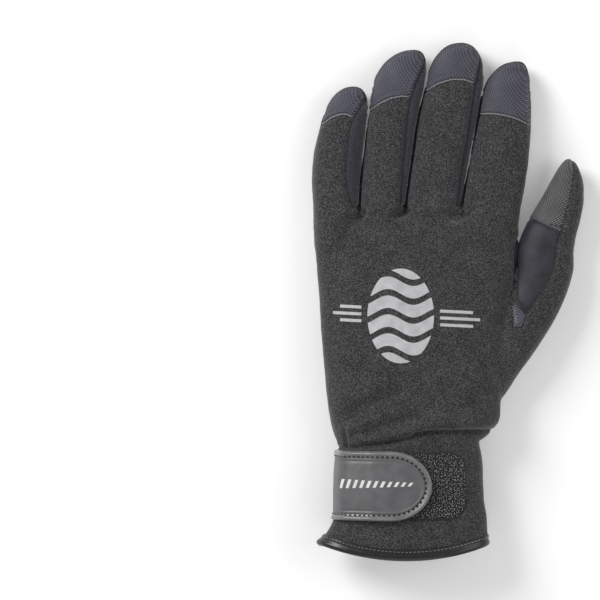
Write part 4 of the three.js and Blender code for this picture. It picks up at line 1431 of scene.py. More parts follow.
@dataclass(frozen=True)
class StretchKnit(Finish):
    """Smooth fine stretch knit with a soft blue-violet sheen."""

    dark: int
    light: int
    roughness: float = 0.6
    sheen: float = 0.35
    under: tuple[int, int] | None = None

    def dress(self, s: Shader) -> None:
        """Sets the fine knit. Where under colours are given, the cloth below about 4 mm takes them as its own
        reddish grey, and above about 9 mm the dark bluish colours stand for sheen and shade: painted light.
        """
        grain = s.blend(s.noise(0.5), 0.3, s.noise(8.0, 3.0), 0.7)
        tone = s.ramp(grain, ((0.32, self.dark), (0.68, self.light)))
        # Painted sheen and shade: the upper side takes darker bluish colours, the low part the fabric's own.
        if self.under:
            under = s.ramp(grain, ((0.3, self.under[0]), (0.7, self.under[1])))
            height = s.add("ShaderNodeSeparateXYZ", None, {0: s.place}).outputs[2]
            low = s.add("ShaderNodeMapRange", {"From Min": 9.0, "From Max": 4.0}, {"Value": height}).outputs[0]
            tone = s.mix(low, tone, under)
        s.colour(tone)
        ribs = s.wave(0.55, 8.0, 0.1)
        s.bump(s.sum("ADD", s.sum("MULTIPLY", ribs, 0.4), grain), 0.08)
        s.settle(Roughness=self.roughness, Sheen_Weight=self.sheen, Sheen_Roughness=0.35, Specular_IOR_Level=0.4)
        s.surface.inputs["Sheen Tint"].default_value = srgb(0xA6A6C8)


@dataclass(frozen=True)
class MouldedRubber(Finish):
    """Moulded rubber or smooth rubberised tape with faint flow marks and rubbed high spots."""

    dark: int
    light: int
    roughness: float
    coat: float = 0.0
    pebble: float = 0.03

    def dress(self, s: Shader) -> None:
        """Sets colour, relief and gloss."""
        tone = s.blend(s.noise(6.0, 4.0), 0.8, s.noise(0.35, 1.0), 0.2)
        s.colour(s.ramp(tone, ((0.35, self.dark), (0.65, self.light))))
        s.bump(s.noise(0.5, 2.0), self.pebble)
        gloss = s.add("ShaderNodeMapRange", {"To Min": self.roughness - 0.06, "To Max": self.roughness + 0.08},
                      {"Value": s.noise(3.0, 3.0)})
        s.tree.links.new(gloss.outputs[0], s.surface.inputs["Roughness"])
        s.settle(Coat_Weight=self.coat, Coat_Roughness=0.2, IOR=1.5)


@dataclass(frozen=True)
class Yarn(Finish):
    """Twisted thread or nylon pile."""

    dark: int
    light: int
    roughness: float = 0.7
    pitch: float = 0.45

    def dress(self, s: Shader) -> None:
        """Sets colour, relief and gloss."""
        twist = s.wave(self.pitch, 35.0, 0.6)
        tone = s.blend(twist, 0.5, s.noise(0.8), 0.5)
        s.colour(s.ramp(tone, ((0.25, self.dark), (0.75, self.light))))
        s.bump(twist, 0.05)
        s.settle(Roughness=self.roughness, Sheen_Weight=0.1)


@dataclass(frozen=True)
class PrintInk(Finish):
    """Silver-grey flexible print, thin and slightly uneven on the knit."""

    dark: int
    light: int
    roughness: float = 0.5

    def dress(self, s: Shader) -> None:
        """Sets colour, relief and gloss."""
        tone = s.blend(s.noise(5.0, 3.0), 0.75, s.noise(0.4, 1.0), 0.25)
        s.colour(s.ramp(tone, ((0.3, self.dark), (0.7, self.light))))
        s.bump(s.noise(0.6, 2.0), 0.05)
        s.settle(Roughness=self.roughness, Specular_IOR_Level=0.5)


@dataclass(frozen=True)
class Webbing(Finish):
    """Woven nylon webbing with ribs across its width and pale yarn crowns."""

    name: str = "woven_nylon_webbing"

    def dress(self, s: Shader) -> None:
        """Sets colour, relief and gloss."""
        ribs = s.wave(1.1, 90.0, 0.1)
        yarns = s.wave(0.9, 0.0, 0.2)
        weave = s.sum("MULTIPLY", ribs, s.sum("MULTIPLY_ADD", yarns, 0.6, 0.4))
        s.colour(s.ramp(weave, ((0.1, 0x101011), (0.5, 0x222223), (0.95, 0x5A5A5C))))
        s.bump(weave, 0.25)
        s.settle(Roughness=0.75, Sheen_Weight=0.15)


@dataclass(frozen=True)
class CoatedSteel(Finish):
    """Steel wire with a baked black coating, mottled a little at random."""

    name: str = "black_coated_steel"

    def dress(self, s: Shader) -> None:
        """Sets colour, relief and gloss."""
        s.colour(s.ramp(s.noise(1.2, 4.0), ((0.4, 0x161617), (0.7, 0x2C2C2E))))
        s.bump(s.noise(0.5, 3.0), 0.02)
        s.settle(Roughness=0.32, Coat_Weight=0.4, Coat_Roughness=0.15, IOR=1.5)


FINISHES = {
    "neoprene": Jersey(),
    # The finger side bands are the same jersey, painted lighter and bluish: painted sheen where they catch the
    # light.
    "sidewall": Jersey("fine_rib_jersey", 0x26262A, 0x32323A, 0x484852, 0.3, 0.7),
    "cap_twill": Twill("blue_black_coated_twill", 0x282830, 0x444450, 0x7A7A8A, 0.9, 50.0),
    "palm_twill": Twill("grey_embossed_synthetic_leather", 0x404042, 0x6A6A6C, 0x9C9C9E),
    # The thumb pad is the palm's grey synthetic leather painted darker: painted shade.
    "thumb_twill_painted_shade": Twill("dark_embossed_synthetic_leather", 0x2C2C2E, 0x505052, 0x8C8C8E),
    "stretch_insert": StretchKnit("smooth_stretch_knit", 0x26262E, 0x3A3A4C),
    # The gusset's dark bluish colours are painted sheen and shade on its upper side; its under colours are the
    # fabric's reddish grey.
    "stretch_panel": StretchKnit("brushed_stretch_knit", 0x1C1C1F, 0x34343F, 0.55, 0.4, (0x352E31, 0x5C5054)),
    "binding": MouldedRubber("rubberised_binding_tape", 0x101011, 0x1C1C1D, 0.34, 0.15),
    "hook_and_loop": Yarn("hook_tape_ground_weave", 0x111112, 0x262627, 0.8, 0.7),
    # The hooks' light grey tone is painted highlight, the light the small hooks catch.
    "hooks": Yarn("nylon_hook_pile", 0x3C3C3D, 0xB4B4B8, 0.3, 0.6),
    "strap_rubber": MouldedRubber("satin_grey_strap_rubber", 0x58585A, 0x646466, 0.4),
    "strap_rim": MouldedRubber("glossy_grey_rim_rubber", 0x646466, 0x7C7C7E, 0.28, 0.4),
    "webbing": Webbing(),
    "coated_steel": CoatedSteel(),
    "black_thread": Yarn("black_bonded_thread", 0x0B0B0C, 0x1A1A1B),
    "grey_cord": Yarn("grey_seam_cord", 0x5E5E5F, 0x9C9C9D, 0.6, 0.8),
    "print_ink": PrintInk("silver_grey_flexible_print", 0xA9A9AB, 0xC9C9CB),
    "white_ink": PrintInk("white_strap_print", 0xD0D0D2, 0xE6E6E8),
}


# Seams, stitches and prints

class Threads:
    """Cords and stitches along the seams of the panels."""

    PITCH = 2.2
    PALM_ROWS = (94.9, 90.9, 86.9)
    ZIGZAGS = 13

    def __init__(self, cloth: Cloth) -> None:
        """Keeps the cut cloth."""
        self.cloth = cloth
        self.pattern = cloth.plan
        self.black: list[Part] = []
        self.grey: list[Part] = []

    def across(self, panel: str, start: Sequence[float], end: Sequence[float], facing: float = 0.0,
               margin: float = 1.0) -> list[Seam]:
        """Lines where an upright plane through two plan places meets a panel.

        Args:
            panel: name of the panel.
            start: one plan place.
            end: the other.
            facing: 1 keeps the upper side only, -1 the underside, 0 both.
            margin: smallest distance from the panel's edges.

        Returns:
            The lines.
        """
        piece = self.cloth.panels[panel]
        skin = piece.outer
        a, b = np.array(start, float), np.array(end, float)
        along = (b - a) / np.linalg.norm(b - a)
        keep = piece.distance[skin.faces].min(1) > margin
        if facing:
            keep &= skin.normals[skin.faces].mean(1)[:, 2] * facing > 0.25
        return skin.part(keep).contour((skin.points[:, :2] - a) @ [-along[1], along[0]])

    def edge_lines(self, panel: str, inset: float, where: Callable[[Array], Array], shortest: float) -> list[Seam]:
        """Lines that run a distance inside the edges of a panel.

        Args:
            panel: name of the panel.
            inset: distance from the edge.
            where: chooses the stretch by its points.
            shortest: shorter lines are left out.

        Returns:
            The lines.
        """
        piece = self.cloth.panels[panel]
        keep = where(piece.outer.points)[piece.outer.faces].all(axis=1)
        return piece.outer.part(keep).contour(piece.distance - inset, shortest)

    def caps(self) -> None:
        """Light cord along the bowed seam of each fingertip, with small dark stitches above it."""
        length = self.pattern.sizes.hand_length
        for finger in FINGERS:
            name, tip, strip = f"{finger.name}_cap", length + finger.length, self.pattern.strip(finger)
            low = tip - max(finger.cap) * finger.length - 3

            def near_seam(points: Array) -> Array:
                return (points[:, 2] > 11.0) & (points[:, 1] < tip - min(finger.cap) * finger.length + 3.5)

            def inside(points: Array) -> Array:
                left, right = (self.pattern.edge(side, points[:, 1]) for side in (finger.left, finger.right))
                seam = np.array([strip((y - length) / finger.length) for y in points[:, 1]])
                limit = (left + right) / 2 + np.minimum(seam, 1.2) * (right - left) / 2
                return (points[:, 0] > left + 0.9) & (points[:, 0] < limit - 1.2)

            for line in self.edge_lines(name, 0.30, near_seam, 5.0)[:1]:
                line = line.spaced(0.8, 6)
                line = line.chosen(inside(line.points) & (line.points[:, 1] > low))
                if len(line.points) > 4:
                    self.grey.append(tube(line.lifted(0.22), 0.36, 6))
            for line in self.edge_lines(name, 1.25, near_seam, 5.0)[:1]:
                line = line.spaced(1.7, 4)
                line = line.chosen(inside(line.points))
                if len(line.points) > 2:
                    self.black.append(capsules(line.points, line.tangents(), line.normals, 1.1, 0.17))

    def sew(self, lines: Sequence[Seam], *sizes: float) -> None:
        """Sews rows of black stitches of a length and radius along lines."""
        self.black += [stitches(line, self.PITCH, *sizes) for line in lines]

    def pads(self) -> None:
        """Stitches at the base of each finger pad and at the finger tabs of the palm."""
        place = self.pattern.finger_place
        for finger in FINGERS:
            for panel, along in ((f"{finger.name}_pad", 1 - finger.pad_end + 2.0 / finger.length),
                                 ("palm_panel", 1 - finger.insert_end - 2.0 / finger.length)):
                start, end = place(finger, along, finger.pad_inner), place(finger, along, finger.pad_outer)
                lines = self.across(panel, start, end, -1.0, 0.6)
                self.sew([line for line in lines if start[0] - 1 < line.points[:, 0].mean() < end[0] + 1])

    def palm(self) -> None:
        """Three rows of stitches across the palm and one along its heel and curve."""
        for y in self.PALM_ROWS:
            self.sew(self.across("palm_panel", (52.0, y), (-43.0, y - 1.6), -1.0, 1.2)[:1])
        limit = self.pattern.sizes.hand_length * 0.72

        def lower_palm(points: Array) -> Array:
            return (points[:, 1] < limit) & (points[:, 2] < 6.5) & (points[:, 0] > -44.0)

        self.sew(self.edge_lines("palm_panel", 1.7, lower_palm, 20.0))
        for line in self.edge_lines("palm_panel", 0.35, lower_palm, 20.0)[:1]:
            self.grey.append(tube(line.spaced(0.9, 5).lifted(0.1), 0.32, 6))

    def thumb(self) -> None:
        """Stitches across the foot of the thumb pad and zigzag thread on the small patch."""
        place = self.pattern.thumb_place
        self.sew(self.across("thumb_pad", place(0.722, -1.1), place(0.69, 0.42), 0.0, 0.5)[:2], 1.7, 0.34)
        patch = self.cloth.panels["thumb_patch"]
        start, end = np.array(place(0.352, -0.62)), np.array(place(0.262, -0.12))
        shape = BVHTree.FromPolygons(patch.outer.points.tolist(), patch.outer.faces.tolist())
        marks = []
        for index, share in enumerate(np.linspace(0.08, 0.94, self.ZIGZAGS)):
            spot = start + (end - start) * share
            hit, normal, _, _ = shape.ray_cast(Vector((*spot, 60.0)), Vector((0, 0, -1)))
            if hit is not None:
                marks.append((hit, normal, 1 if index % 2 else -1))
        hits, normals, signs = (np.array(rows) for rows in zip(*marks))
        across = np.array([*(end - start), 0.0]) / np.linalg.norm(end - start)
        along = unit(0.5 * signs[:, None] * across + np.cross(normals, across))
        self.grey.append(capsules(hits + normals * 0.12, along, normals, 2.0, 0.2))

    def build(self, maker: MeshMaker) -> None:
        """Makes the two pieces of thread."""
        self.caps()
        self.pads()
        self.palm()
        self.thumb()
        maker.make("seam_stitches", self.black, "black_thread", slot="binding")
        maker.make("seam_cord", self.grey, "grey_cord", slot="webbing")


class BackPrint:
    """Generic silver print on the back of the hand: an oval of rippled bands between plain bars."""

    CENTRE = (-8.6, 57.0)
    HALF_WIDTH = 16.5
    HALF_HEIGHT = 23.5
    BANDS = 5
    THICKNESS = 0.10

    def bands(self, places: Array) -> Array:
        """Field of the oval of bands, negative on the print."""
        x = (places[:, 0] - self.CENTRE[0]) / self.HALF_WIDTH
        y = (places[:, 1] - self.CENTRE[1]) / self.HALF_HEIGHT
        oval = (np.sqrt(x * x + y * y) - 1) * self.HALF_WIDTH
        ripple = 0.10 * np.sin(x * math.pi * 1.3)
        phase = ((y + ripple) * self.BANDS / 2) % 1.0
        band = (np.abs(phase - 0.5) - 0.33) * 2 * self.HALF_HEIGHT / self.BANDS
        return np.maximum(oval, band)

    def bars(self, places: Array) -> Array:
        """Field of the plain bars on both sides of the oval."""
        total = np.full(len(places), np.inf)
        for side, first, last in ((-1.0, 19.5, 33.5), (1.0, 19.5, 39.5)):
            for row, trim in ((-1, 3.5), (0, 0.0), (1, 3.5)):
                x = (places[:, 0] - self.CENTRE[0]) * side
                y = places[:, 1] - self.CENTRE[1] - row * 3.4 + 0.05 * (places[:, 0] - self.CENTRE[0])
                bar = np.maximum(np.abs(y) - 0.75, np.maximum(first - x, x - last + trim))
                total = np.minimum(total, bar)
        return total

    def build(self, cloth: Cloth, maker: MeshMaker) -> None:
        """Makes the print as a thin skin on the back panel."""
        skin = cloth.panels["back_panel"].outer
        near = (np.abs(skin.points[:, 0] - self.CENTRE[0]) < 44) & (np.abs(skin.points[:, 1] - self.CENTRE[1]) < 27)
        near &= skin.points[:, 2] > 12
        part = refined(refined(skin.part(near[skin.faces].all(axis=1)).compact()))
        values = np.minimum(self.bands(part.points), self.bars(part.points))
        ink, _ = part.split(values, 0.01)
        ink = ink.compact()
        lifted = Surface(ink.points + ink.normals * self.THICKNESS, ink.normals, ink.faces)
        part = lifted.walled(ink.points - ink.normals * 0.05, ink.border(), False)
        maker.make("back_print", [part], "print_ink", slot="neoprene")


def refined(skin: Surface) -> Surface:
    """The same surface with each triangle cut into four."""
    unique, inverse = np.unique(np.sort(skin.edges(), axis=1), axis=0, return_inverse=True)
    inverse = inverse.reshape(-1)
    points = np.vstack([skin.points, skin.points[unique].mean(axis=1)])
    normals = unit(np.vstack([skin.normals, skin.normals[unique].mean(axis=1)]))
    count, base = len(skin.faces), len(skin.points)
    ab, bc, ca = (inverse[k * count:(k + 1) * count] + base for k in range(3))
    a, b, c = skin.faces.T
    corners = ((a, ab, ca), (ab, b, bc), (ca, bc, c), (ab, bc, ca))
    faces = np.concatenate([np.stack(rows, axis=1) for rows in corners])
    return Surface(points, normals, faces)


# Strap, hook pad, binding and ring

class CuffSurface:
    """Places on the upper side of the cuff: distances across it from the strap's tip, and heights off it."""

    def __init__(self, cloth: Cloth) -> None:
        """Keeps the cuff's shape for casting places on it."""
        self.pattern = cloth.plan
        cuff, back = cloth.panels["cuff"].base, cloth.panels["back_panel"].base
        points = np.vstack([cuff.points, back.points])
        faces = np.vstack([cuff.faces, back.faces + len(cuff.points)])
        self.shape = BVHTree.FromPolygons(points.tolist(), faces.tolist())
        self.sections: dict[float, tuple[Array, Array, Array]] = {}

    def section(self, y: float) -> tuple[Array, Array, Array]:
        """Line over the cuff at a height y, from the little-finger side: runs, places and directions."""
        key = round(y, 2)
        if key not in self.sections:
            s = self.pattern.sizes
            _, left, right, low, high = self.pattern.cuff_sections(0.0, np.array([-key / s.cuff_length]))[0]
            across, up = squarish(np.linspace(math.pi * 1.02, -0.02, 241), s.steepness)
            x = (left + right) / 2 + (right - left) / 2 * across
            line = np.stack([x, (low + high) / 2 + (high - low) / 2 * up], axis=1)
            runs = runs_along(line)
            tip = s.cuff_width * CUFF_SECTIONS[4].left + s.strap_reach
            along = np.gradient(line, axis=0)
            normal = unit(np.stack([-along[:, 1], along[:, 0]], axis=1))
            self.sections[key] = (runs - np.interp(tip, x, runs), line, normal)
        return self.sections[key]

    def drape(self, line: Array, height: float) -> tuple[Array, Array]:
        """Points and outward directions of a line of runs and heights y, a distance off the cuff."""
        return self.lift(np.column_stack([line, np.full(len(line), height)]))

    def lift(self, places: Array) -> tuple[Array, Array]:
        """Points on or above the cuff.

        Args:
            places: rows of run across from the strap's tip, height y, and distance off the cuff.

        Returns:
            Points, and outward directions there.
        """
        points, normals = np.empty((len(places), 3)), np.empty((len(places), 3))
        for index, (run, y, height) in enumerate(places):
            runs, line, normal = self.section(y)
            x, z, side, up = (np.interp(run, runs, column) for column in (*line.T, *normal.T))
            out, place = Vector((side, 0.0, up)).normalized(), Vector((x, y, z))
            hit = self.shape.ray_cast(place + out * 9, -out, 16.0)[0]
            points[index] = (hit or place) + out * float(height)
            normals[index] = out
        return points, normals


class Strap:
    """Moulded wrist strap with a raised glossy rim, stitched round, over the hook pad."""

    ARC_STEPS = 28
    SIDE_STEPS = 26
    SIDE_RUN = 58.0
    RIM = ((0.0, 0.15), (-0.12, 0.9), (0.1, 2.0), (0.6, 2.85), (1.2, 3.2), (1.8, 3.0), (2.2, 2.45),
           (2.6, 2.15), (3.3, 2.05))
    PLATE = ((3.4, 2.0), (3.6, 2.15), (3.9, 2.32), (4.4, 2.38), (4.75, 2.1), (5.1, 2.05), (5.45, 2.36), (6.2, 2.46),
             (8.5, 2.5), (11.5, 2.52), (14.5, 2.54), (17.24, 2.55))
    OVAL = 1.15
    BARS = 11
    BAR_PITCH = 3.3
    BAR_WIDTH = 1.5
    BAR_SLANT = 1.4
    BAR_HEIGHT = 4.6

    def __init__(self, surface: CuffSurface) -> None:
        """Keeps the cuff's surface."""
        self.surface = surface
        s = surface.pattern.sizes
        self.width = s.strap_width
        self.middle = -s.strap_distance - s.strap_width / 2

    def outline(self, inset: float) -> Array:
        """Line of the strap's edge from the lower seam round the tip to the upper seam: runs and heights."""
        radius = self.width / 2 - inset
        centre = -inset - radius * self.OVAL
        angles = np.linspace(-math.pi / 2, math.pi / 2, self.ARC_STEPS + 1)
        x, y = centre + radius * self.OVAL * np.cos(angles), self.middle + radius * np.sin(angles)
        side = np.linspace(-self.SIDE_RUN, centre, self.SIDE_STEPS, endpoint=False)
        level = np.full(len(side), radius)
        return np.column_stack([[*side, *x, *side[::-1]], [*self.middle - level, *y, *self.middle + level]])

    def rise(self, runs: Array) -> Array:
        """Height of the strap's underside off the cuff: it climbs onto the hook pad."""
        return 0.3 + 1.5 * smoothstep(-37.0, -28.0, runs)

    def places(self, line: Array, height: float) -> Array:
        """Runs, heights y and distances off the cuff of a line on the strap, which thins out at its seam."""
        thin = 0.45 + 0.55 * smoothstep(-50.0, -43.0, line[:, 0])
        return np.column_stack([line, (self.rise(line[:, 0]) + height) * thin])

    def band(self, profile: Sequence[tuple[float, float]]) -> Part:
        """Closed band between rings at insets and heights, with its underside."""
        profile = [*profile, (profile[-1][0], 0.05), (profile[0][0], 0.05)]
        points = np.stack([self.surface.lift(self.places(self.outline(max(inset, 0.0)), height))[0]
                           for inset, height in profile])
        rows, count = points.shape[:2]
        end = np.arange(rows)[None] * count
        return points.reshape(-1, 3), [grid_quads(rows, count, True, False), end, end[:, ::-1] + count - 1]

    def build(self, maker: MeshMaker) -> None:
        """Makes the rim, the plate, the stitches between them and the small print."""
        for name, profile, slot, node in (("strap_rim", self.RIM, "strap_rim", "strap_welt"),
                                          ("strap_body", self.PLATE, "strap_rubber", "strap_plate")):
            maker.make(name, [self.band(profile)], slot, [node], sharp=55)
        seam = Seam(*self.surface.lift(self.places(self.outline(2.85), 2.2)))
        maker.make("strap_stitches", [stitches(seam, 2.5, 1.6, 0.33)], "black_thread", slot="strap_rim")
        self.print_bars(maker)

    def print_bars(self, maker: MeshMaker) -> None:
        """Generic print: a row of slanted bars that grow shorter towards the tip."""
        parts = []
        edge = np.array([0, 1, 2, 5, 8, 11, 14, 13, 12, 9, 6, 3])
        border = np.stack([edge, np.roll(edge, -1)], axis=1)
        up, across = np.repeat(np.linspace(0, 1, 5), 3), np.tile(np.linspace(0, 1, 3), 5)
        for index in range(self.BARS):
            tall, left = self.BAR_HEIGHT - 0.28 * index, -45.0 + index * self.BAR_PITCH
            x = left + self.BAR_WIDTH * across + self.BAR_SLANT * up
            line = np.stack([x, tall * (up - 0.5) + self.middle + 1.0], axis=1)
            top, base = (self.surface.lift(self.places(line, height))[0] for height in (2.62, 2.40))
            parts.append(Surface(top, top, grid_quads(5, 3, False, False)).walled(base, border, False))
        maker.make("strap_print", parts, "white_ink", slot="strap_rubber")


class HookPad:
    """Rounded hook tape on the cuff: a woven ground with rows of small nylon hooks."""

    LENGTH = 46.0
    WIDTH = 33.5
    CORNER = 9.0
    INSET = 5.5
    THICKNESS = 0.75
    ROW_PITCH = 1.25
    HOOK_PITCH = 1.05
    HOOK_HEIGHT = 0.95
    HOOK_SECTION = ((0.0, 0.17), (0.136, -0.102), (-0.136, -0.102))
    SPINE = ((0.0, 0.0), (0.05, 0.55), (0.22, 0.95), (0.55, 0.98), (0.72, 0.62))

    def __init__(self, surface: CuffSurface) -> None:
        """Keeps the cuff's surface."""
        self.surface = surface
        s = surface.pattern.sizes
        self.start = -self.LENGTH / 2 - self.INSET
        self.middle = -s.strap_distance - s.strap_width / 2
        self.centre = np.array([self.start + self.LENGTH / 2, self.middle])
        self.half = np.array([self.LENGTH / 2, self.WIDTH / 2])

    def field(self, places: Array) -> Array:
        """Distance to the tape's outline in runs and heights, negative inside."""
        away = np.abs(places - self.centre) - self.half + self.CORNER
        return np.linalg.norm(np.maximum(away, 0), axis=1) + np.minimum(away.max(axis=1), 0) - self.CORNER

    def ring(self, inset: float) -> Array:
        """Line round the tape a distance inside its outline."""
        radius = max(self.CORNER - inset, 0.6)
        line = []
        for quarter, signs in enumerate(((1, 1), (-1, 1), (-1, -1), (1, -1))):
            corner = self.centre + signs * (self.half - inset - radius)
            for angle in np.linspace(0, math.pi / 2, 9) + quarter * math.pi / 2:
                line.append(corner + radius * np.array([math.cos(angle), math.sin(angle)]))
        spots = []
        for a, b in zip(line, np.roll(line, -1, axis=0)):
            count = max(1, int(np.linalg.norm(b - a) / 1.6))
            spots += [a + (b - a) * k / count for k in range(count)]
        return np.array(spots)

    def ground(self) -> Part:
        """The tape itself, a draped sheet with an edge."""
        outer = self.ring(0.0)
        centre = outer.mean(axis=0)
        edge = ((0.0, 0.02), (0.0, 0.55), (0.35, self.THICKNESS), (1.4, self.THICKNESS + 0.02))
        rows = [(1 - inset / (self.WIDTH / 2), height) for inset, height in edge]
        rows += [(share, self.THICKNESS) for share in (0.75, 0.5, 0.25, 0.02)]
        rings = [self.surface.drape(centre + (outer - centre) * share, height)[0] for share, height in rows]
        return skin_of(np.stack(rings)[None])

    def hooks(self, strap: Strap) -> Part:
        """Rows of small bent hooks where the strap leaves the tape bare."""
        random = np.random.default_rng(7)
        rows = np.arange(self.start + 0.9, self.start + self.LENGTH, self.ROW_PITCH)
        columns = np.arange(self.middle - self.WIDTH / 2, self.middle + self.WIDTH / 2, self.HOOK_PITCH)
        grid = np.array([(x + 0.25 * (index % 2), y + 0.5 * (row % 2)) for row, x in enumerate(rows)
                         for index, y in enumerate(columns)])
        grid += random.uniform(-0.22, 0.22, grid.shape)
        outline = strap.outline(0.0)
        closed = np.vstack([outline, [[-FAR, outline[-1, 1]], [-FAR, outline[0, 1]]]])
        grid = grid[(self.field(grid) < -1.0) & (signed_distance(closed, grid) > 0.15)]
        base, normals = self.surface.drape(grid, self.THICKNESS - 0.05)
        turn = random.uniform(0, 2 * math.pi, len(grid))
        tall = self.HOOK_HEIGHT * random.uniform(0.7, 1.15, len(grid))
        side = unit(np.cross(normals, [0.0, 1.0, 0.0]))
        lean = side * np.cos(turn)[:, None] + np.cross(normals, side) * np.sin(turn)[:, None]
        cross = np.cross(lean, normals)
        rings = []
        for out, up in self.SPINE:
            middle = base + lean * out * 0.95 + normals * (up * tall)[:, None]
            rings.append(np.stack([middle + lean * a + cross * b for a, b in self.HOOK_SECTION], axis=1))
        return skin_of(np.stack(rings, axis=1))

    def build(self, maker: MeshMaker, strap: Strap) -> None:
        """Makes the tape, its hooks and the stitches round it."""
        maker.make("hook_tape", [self.ground()], "hook_and_loop", ["hook_pad"])
        maker.make("hook_pile", [self.hooks(strap)], "hooks", slot="hook_and_loop")
        seam = Seam(*self.surface.drape(self.ring(0.9), self.THICKNESS + 0.02), True)
        maker.make("hook_stitches", [stitches(seam, 1.9, 1.4, 0.2)], "black_thread", slot="hook_and_loop")


class HemBinding:
    """Smooth tape folded over the edge of the cuff, stitched along its upper edge."""

    PROFILE = ((5.2, 0.05), (5.05, 0.42), (4.6, 0.55), (3.6, 0.5), (2.9, 0.45), (2.2, 0.8), (1.2, 1.05), (0.2, 0.85),
               (-0.4, 0.2), (-0.5, -0.8), (-0.45, -1.6), (0.1, -2.15), (1.2, -2.3), (4.2, -2.15), (4.6, -1.75),
               (4.5, -1.62), (0.5, -1.62), (0.2, -0.8), (0.5, 0.0), (5.1, 0.0))

    def __init__(self, cloth: Cloth) -> None:
        """Keeps the cut cloth."""
        self.cloth = cloth

    def hem(self) -> Seam:
        """Line of the cuff's edge."""
        cuff = self.cloth.panels["cuff"].base
        height = cuff.points[:, 1] - self.cloth.plan.hem_height(cuff.points[:, 0], 0.95)
        return cuff.contour(height, 40.0)[0].spaced(1.1, 6)

    def build(self, maker: MeshMaker) -> None:
        """Makes the tape and its stitches."""
        seam = self.hem()
        along = seam.tangents()
        up = np.cross(seam.normals, along)
        up = unit(up * np.sign(up[:, 1:2]))
        rings = [seam.points + up * (rise - 0.5) + seam.normals * out for rise, out in self.PROFILE]
        points, (quads,) = skin_of(np.stack(rings, axis=1)[None], True)
        if np.cross(along[0], up[0]) @ seam.normals[0] > 0:
            quads = quads[:, ::-1]
        maker.make("hem_binding", [(points, [quads])], "binding", ["cuff_binding"], sharp=60)
        line = Seam(seam.points + up * 3.6 + seam.normals * 0.58, seam.normals, True)
        maker.make("hem_stitches", [stitches(line, 2.0, 1.3, 0.17, 0.0)], "grey_cord", slot="binding")


@dataclass(frozen=True)
class Ring:
    """D-shaped coated ring in a loop of webbing under the edge of the cuff."""

    width: float = 18.5
    depth: float = 13.0
    wire: float = 1.9
    webbing_width: float = 8.0
    webbing: float = 1.0
    gap: float = 0.3

    def centre(self, pattern: Pattern) -> Array:
        """Middle of the ring's straight bar."""
        s = pattern.sizes
        loop = self.wire / 2 + self.gap + self.webbing
        return np.array([-s.ring_place * s.cuff_width, s.ring_tuck + s.tab_length - s.cuff_length, loop])

    def wire_line(self) -> Array:
        """Middle line of the wire in plan, from one end of the straight bar round the bow."""
        half, deep = (self.width - self.wire) / 2, self.depth - self.wire
        straight = [(half * share, 0.0) for share in np.linspace(-0.88, 0.88, 9)]
        bow = [(half * math.cos(angle), deep * (0.12 + 0.88 * math.sin(angle)))
               for angle in np.linspace(0, math.pi, 33)]
        return curve_through([(*place, 0.0) for place in [*straight, *bow]], 3)

    def build(self, maker: MeshMaker, pattern: Pattern) -> None:
        """Makes the ring and its webbing."""
        line = self.wire_line() + self.centre(pattern)
        seam = Seam(line, np.tile([0.0, 0.0, 1.0], (len(line), 1)), True).spaced(0.7, 2)
        maker.make("ring_wire", [tube(seam, self.wire / 2, 14)], "coated_steel", ["d_ring"])
        self.build_tab(maker, pattern)

    def build_tab(self, maker: MeshMaker, pattern: Pattern) -> None:
        """Makes the webbing as a ribbed band folded round the bar."""
        outer = self.wire / 2 + self.gap + self.webbing
        length = pattern.sizes.tab_length
        turn = [(outer * math.sin(a), -outer * math.cos(a)) for a in np.linspace(0, math.pi, 15)]
        path = [(-length * share, -outer) for share in np.linspace(1, 0.08, 12)] + turn
        path += [(-length * share, outer) for share in np.linspace(0.08, 1, 12)]
        path = Seam(np.array([(0.0, y, z) for y, z in path]), np.zeros((len(path), 3)) + [1.0, 0, 0])
        path = path.spaced(0.28, 0)
        along = path.tangents()
        inward = np.stack([along[:, 0], -along[:, 2], along[:, 1]], axis=1)
        rib = 0.09 * np.sin(np.arange(len(path.points)) * 2 * math.pi * 0.28 / 1.1)[:, None]
        half = self.webbing_width / 2
        rings = []
        for share, depth in ((-1.0, 0.5), (-0.97, 0.08), (-0.9, 0.0), (-0.45, -0.05), (0.0, 0.0), (0.45, -0.05),
                             (0.9, 0.0), (0.97, 0.08), (1.0, 0.5), (0.9, self.webbing), (-0.9, self.webbing)):
            bumps = rib if depth < 0.4 else rib * 0
            rings.append(path.points + inward * (depth + 0.1 - bumps) + np.array([share * half, 0.0, 0.0]))
        part = skin_of((np.stack(rings, axis=1) + self.centre(pattern))[None])
        maker.make("ring_webbing", [part], "webbing", ["ring_tab"], sharp=60)


# Studio and assembly

@dataclass(frozen=True)
class Light:
    """A soft square lamp aimed at the origin: place and width in metres, and power in watts."""

    name: str
    place: tuple[float, float, float]
    width: float
    power: float


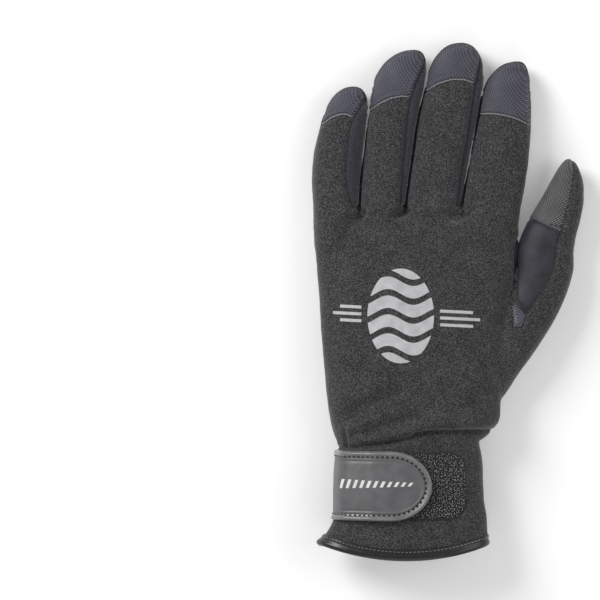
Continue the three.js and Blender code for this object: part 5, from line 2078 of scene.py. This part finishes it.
@dataclass(frozen=True)
class Studio:
    """Plain pale floor, soft lights and a camera straight above, as in the photograph."""

    aim: tuple[float, float] = (-0.0743, 0.0002)
    height: float = 1.6837
    lens: float = 200.0
    daylight: float = 0.36
    lights: tuple[Light, ...] = (
        Light("key", (-1.0, 0.8, 1.0), 0.7, 17.0),
        Light("fill", (1.1, 0.1, 1.1), 1.0, 5.0),
        Light("front", (0.0, -1.2, 0.9), 1.0, 3.6),
    )

    def build(self) -> None:
        """Makes the floor, the lights, the world and the camera."""
        mesh = bpy.data.meshes.new("floor")
        mesh.from_pydata([(-4, -4, 0), (4, -4, 0), (4, 4, 0), (-4, 4, 0)], [], [(0, 1, 2, 3)])
        shader = Shader("pale_floor")
        shader.colour(shader.ramp(shader.noise(300.0, 1.0), ((0.0, 0xF6F6F6), (1.0, 0xFBFBFB))))
        shader.settle(Roughness=0.9, Emission_Strength=0.16)
        shader.surface.inputs["Emission Color"].default_value = srgb(0xFFFFFF)
        mesh.materials.append(shader.material)
        floor = link("floor", mesh)
        floor.location.z = -0.0006
        for light in self.lights:
            data = bpy.data.lights.new(light.name, "AREA")
            data.energy, data.size = light.power, light.width
            lamp = link(light.name, data)
            lamp.location = light.place
            lamp.rotation_euler = Vector(light.place).to_track_quat("Z", "Y").to_euler()
        world = bpy.data.worlds.new("studio")
        world.use_nodes = True
        sky = world.node_tree.nodes["Background"].inputs
        sky["Color"].default_value = (1.0, 1.0, 1.0, 1.0)
        sky["Strength"].default_value = self.daylight
        data = bpy.data.cameras.new("camera")
        data.lens, data.sensor_width, data.clip_start = self.lens, 36.0, 0.05
        camera = link("camera", data)
        camera.location = (*self.aim, self.height)
        scene = bpy.context.scene
        scene.world, scene.camera, scene.view_settings.view_transform = world, camera, "Standard"


def frame_shift(pattern: Pattern) -> Array:
    """Shift from the pattern's frame to the model's, read from the webbing of the solid model."""
    s = pattern.sizes
    low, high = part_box("ring_tab")
    x = (low.x + high.x) * 500 + s.ring_place * s.cuff_width
    y = low.y * 1000 - (s.ring_tuck - s.cuff_length)
    return np.array([x, y, 0.0])


def main() -> None:
    """Builds every piece in order."""
    logging.basicConfig(level=logging.INFO, format="%(name)s: %(message)s")
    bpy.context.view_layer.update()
    pattern = SeamPlan()
    maker = MeshMaker(frame_shift(pattern))
    Studio().build()
    skin = Body(pattern, [*UPPER_FOLDS, *UNDER_FOLDS]).build(VOXEL)
    cloth = Cloth(pattern, skin)
    cloth.cut_all()
    for name, panel in cloth.panels.items():
        maker.make(f"{name}_cloth", panel.parts(), panel.finish, [name], panel.slot, 50)
    Threads(cloth).build(maker)
    BackPrint().build(cloth, maker)
    surface = CuffSurface(cloth)
    strap = Strap(surface)
    HookPad(surface).build(maker, strap)
    strap.build(maker)
    HemBinding(cloth).build(maker)
    Ring().build(maker, pattern)
    faces = sum(len(piece.data.polygons) for piece in maker.pieces)
    LOG.info("%d pieces, %d faces", len(maker.pieces), faces)


if __name__ == "__main__":
    main()
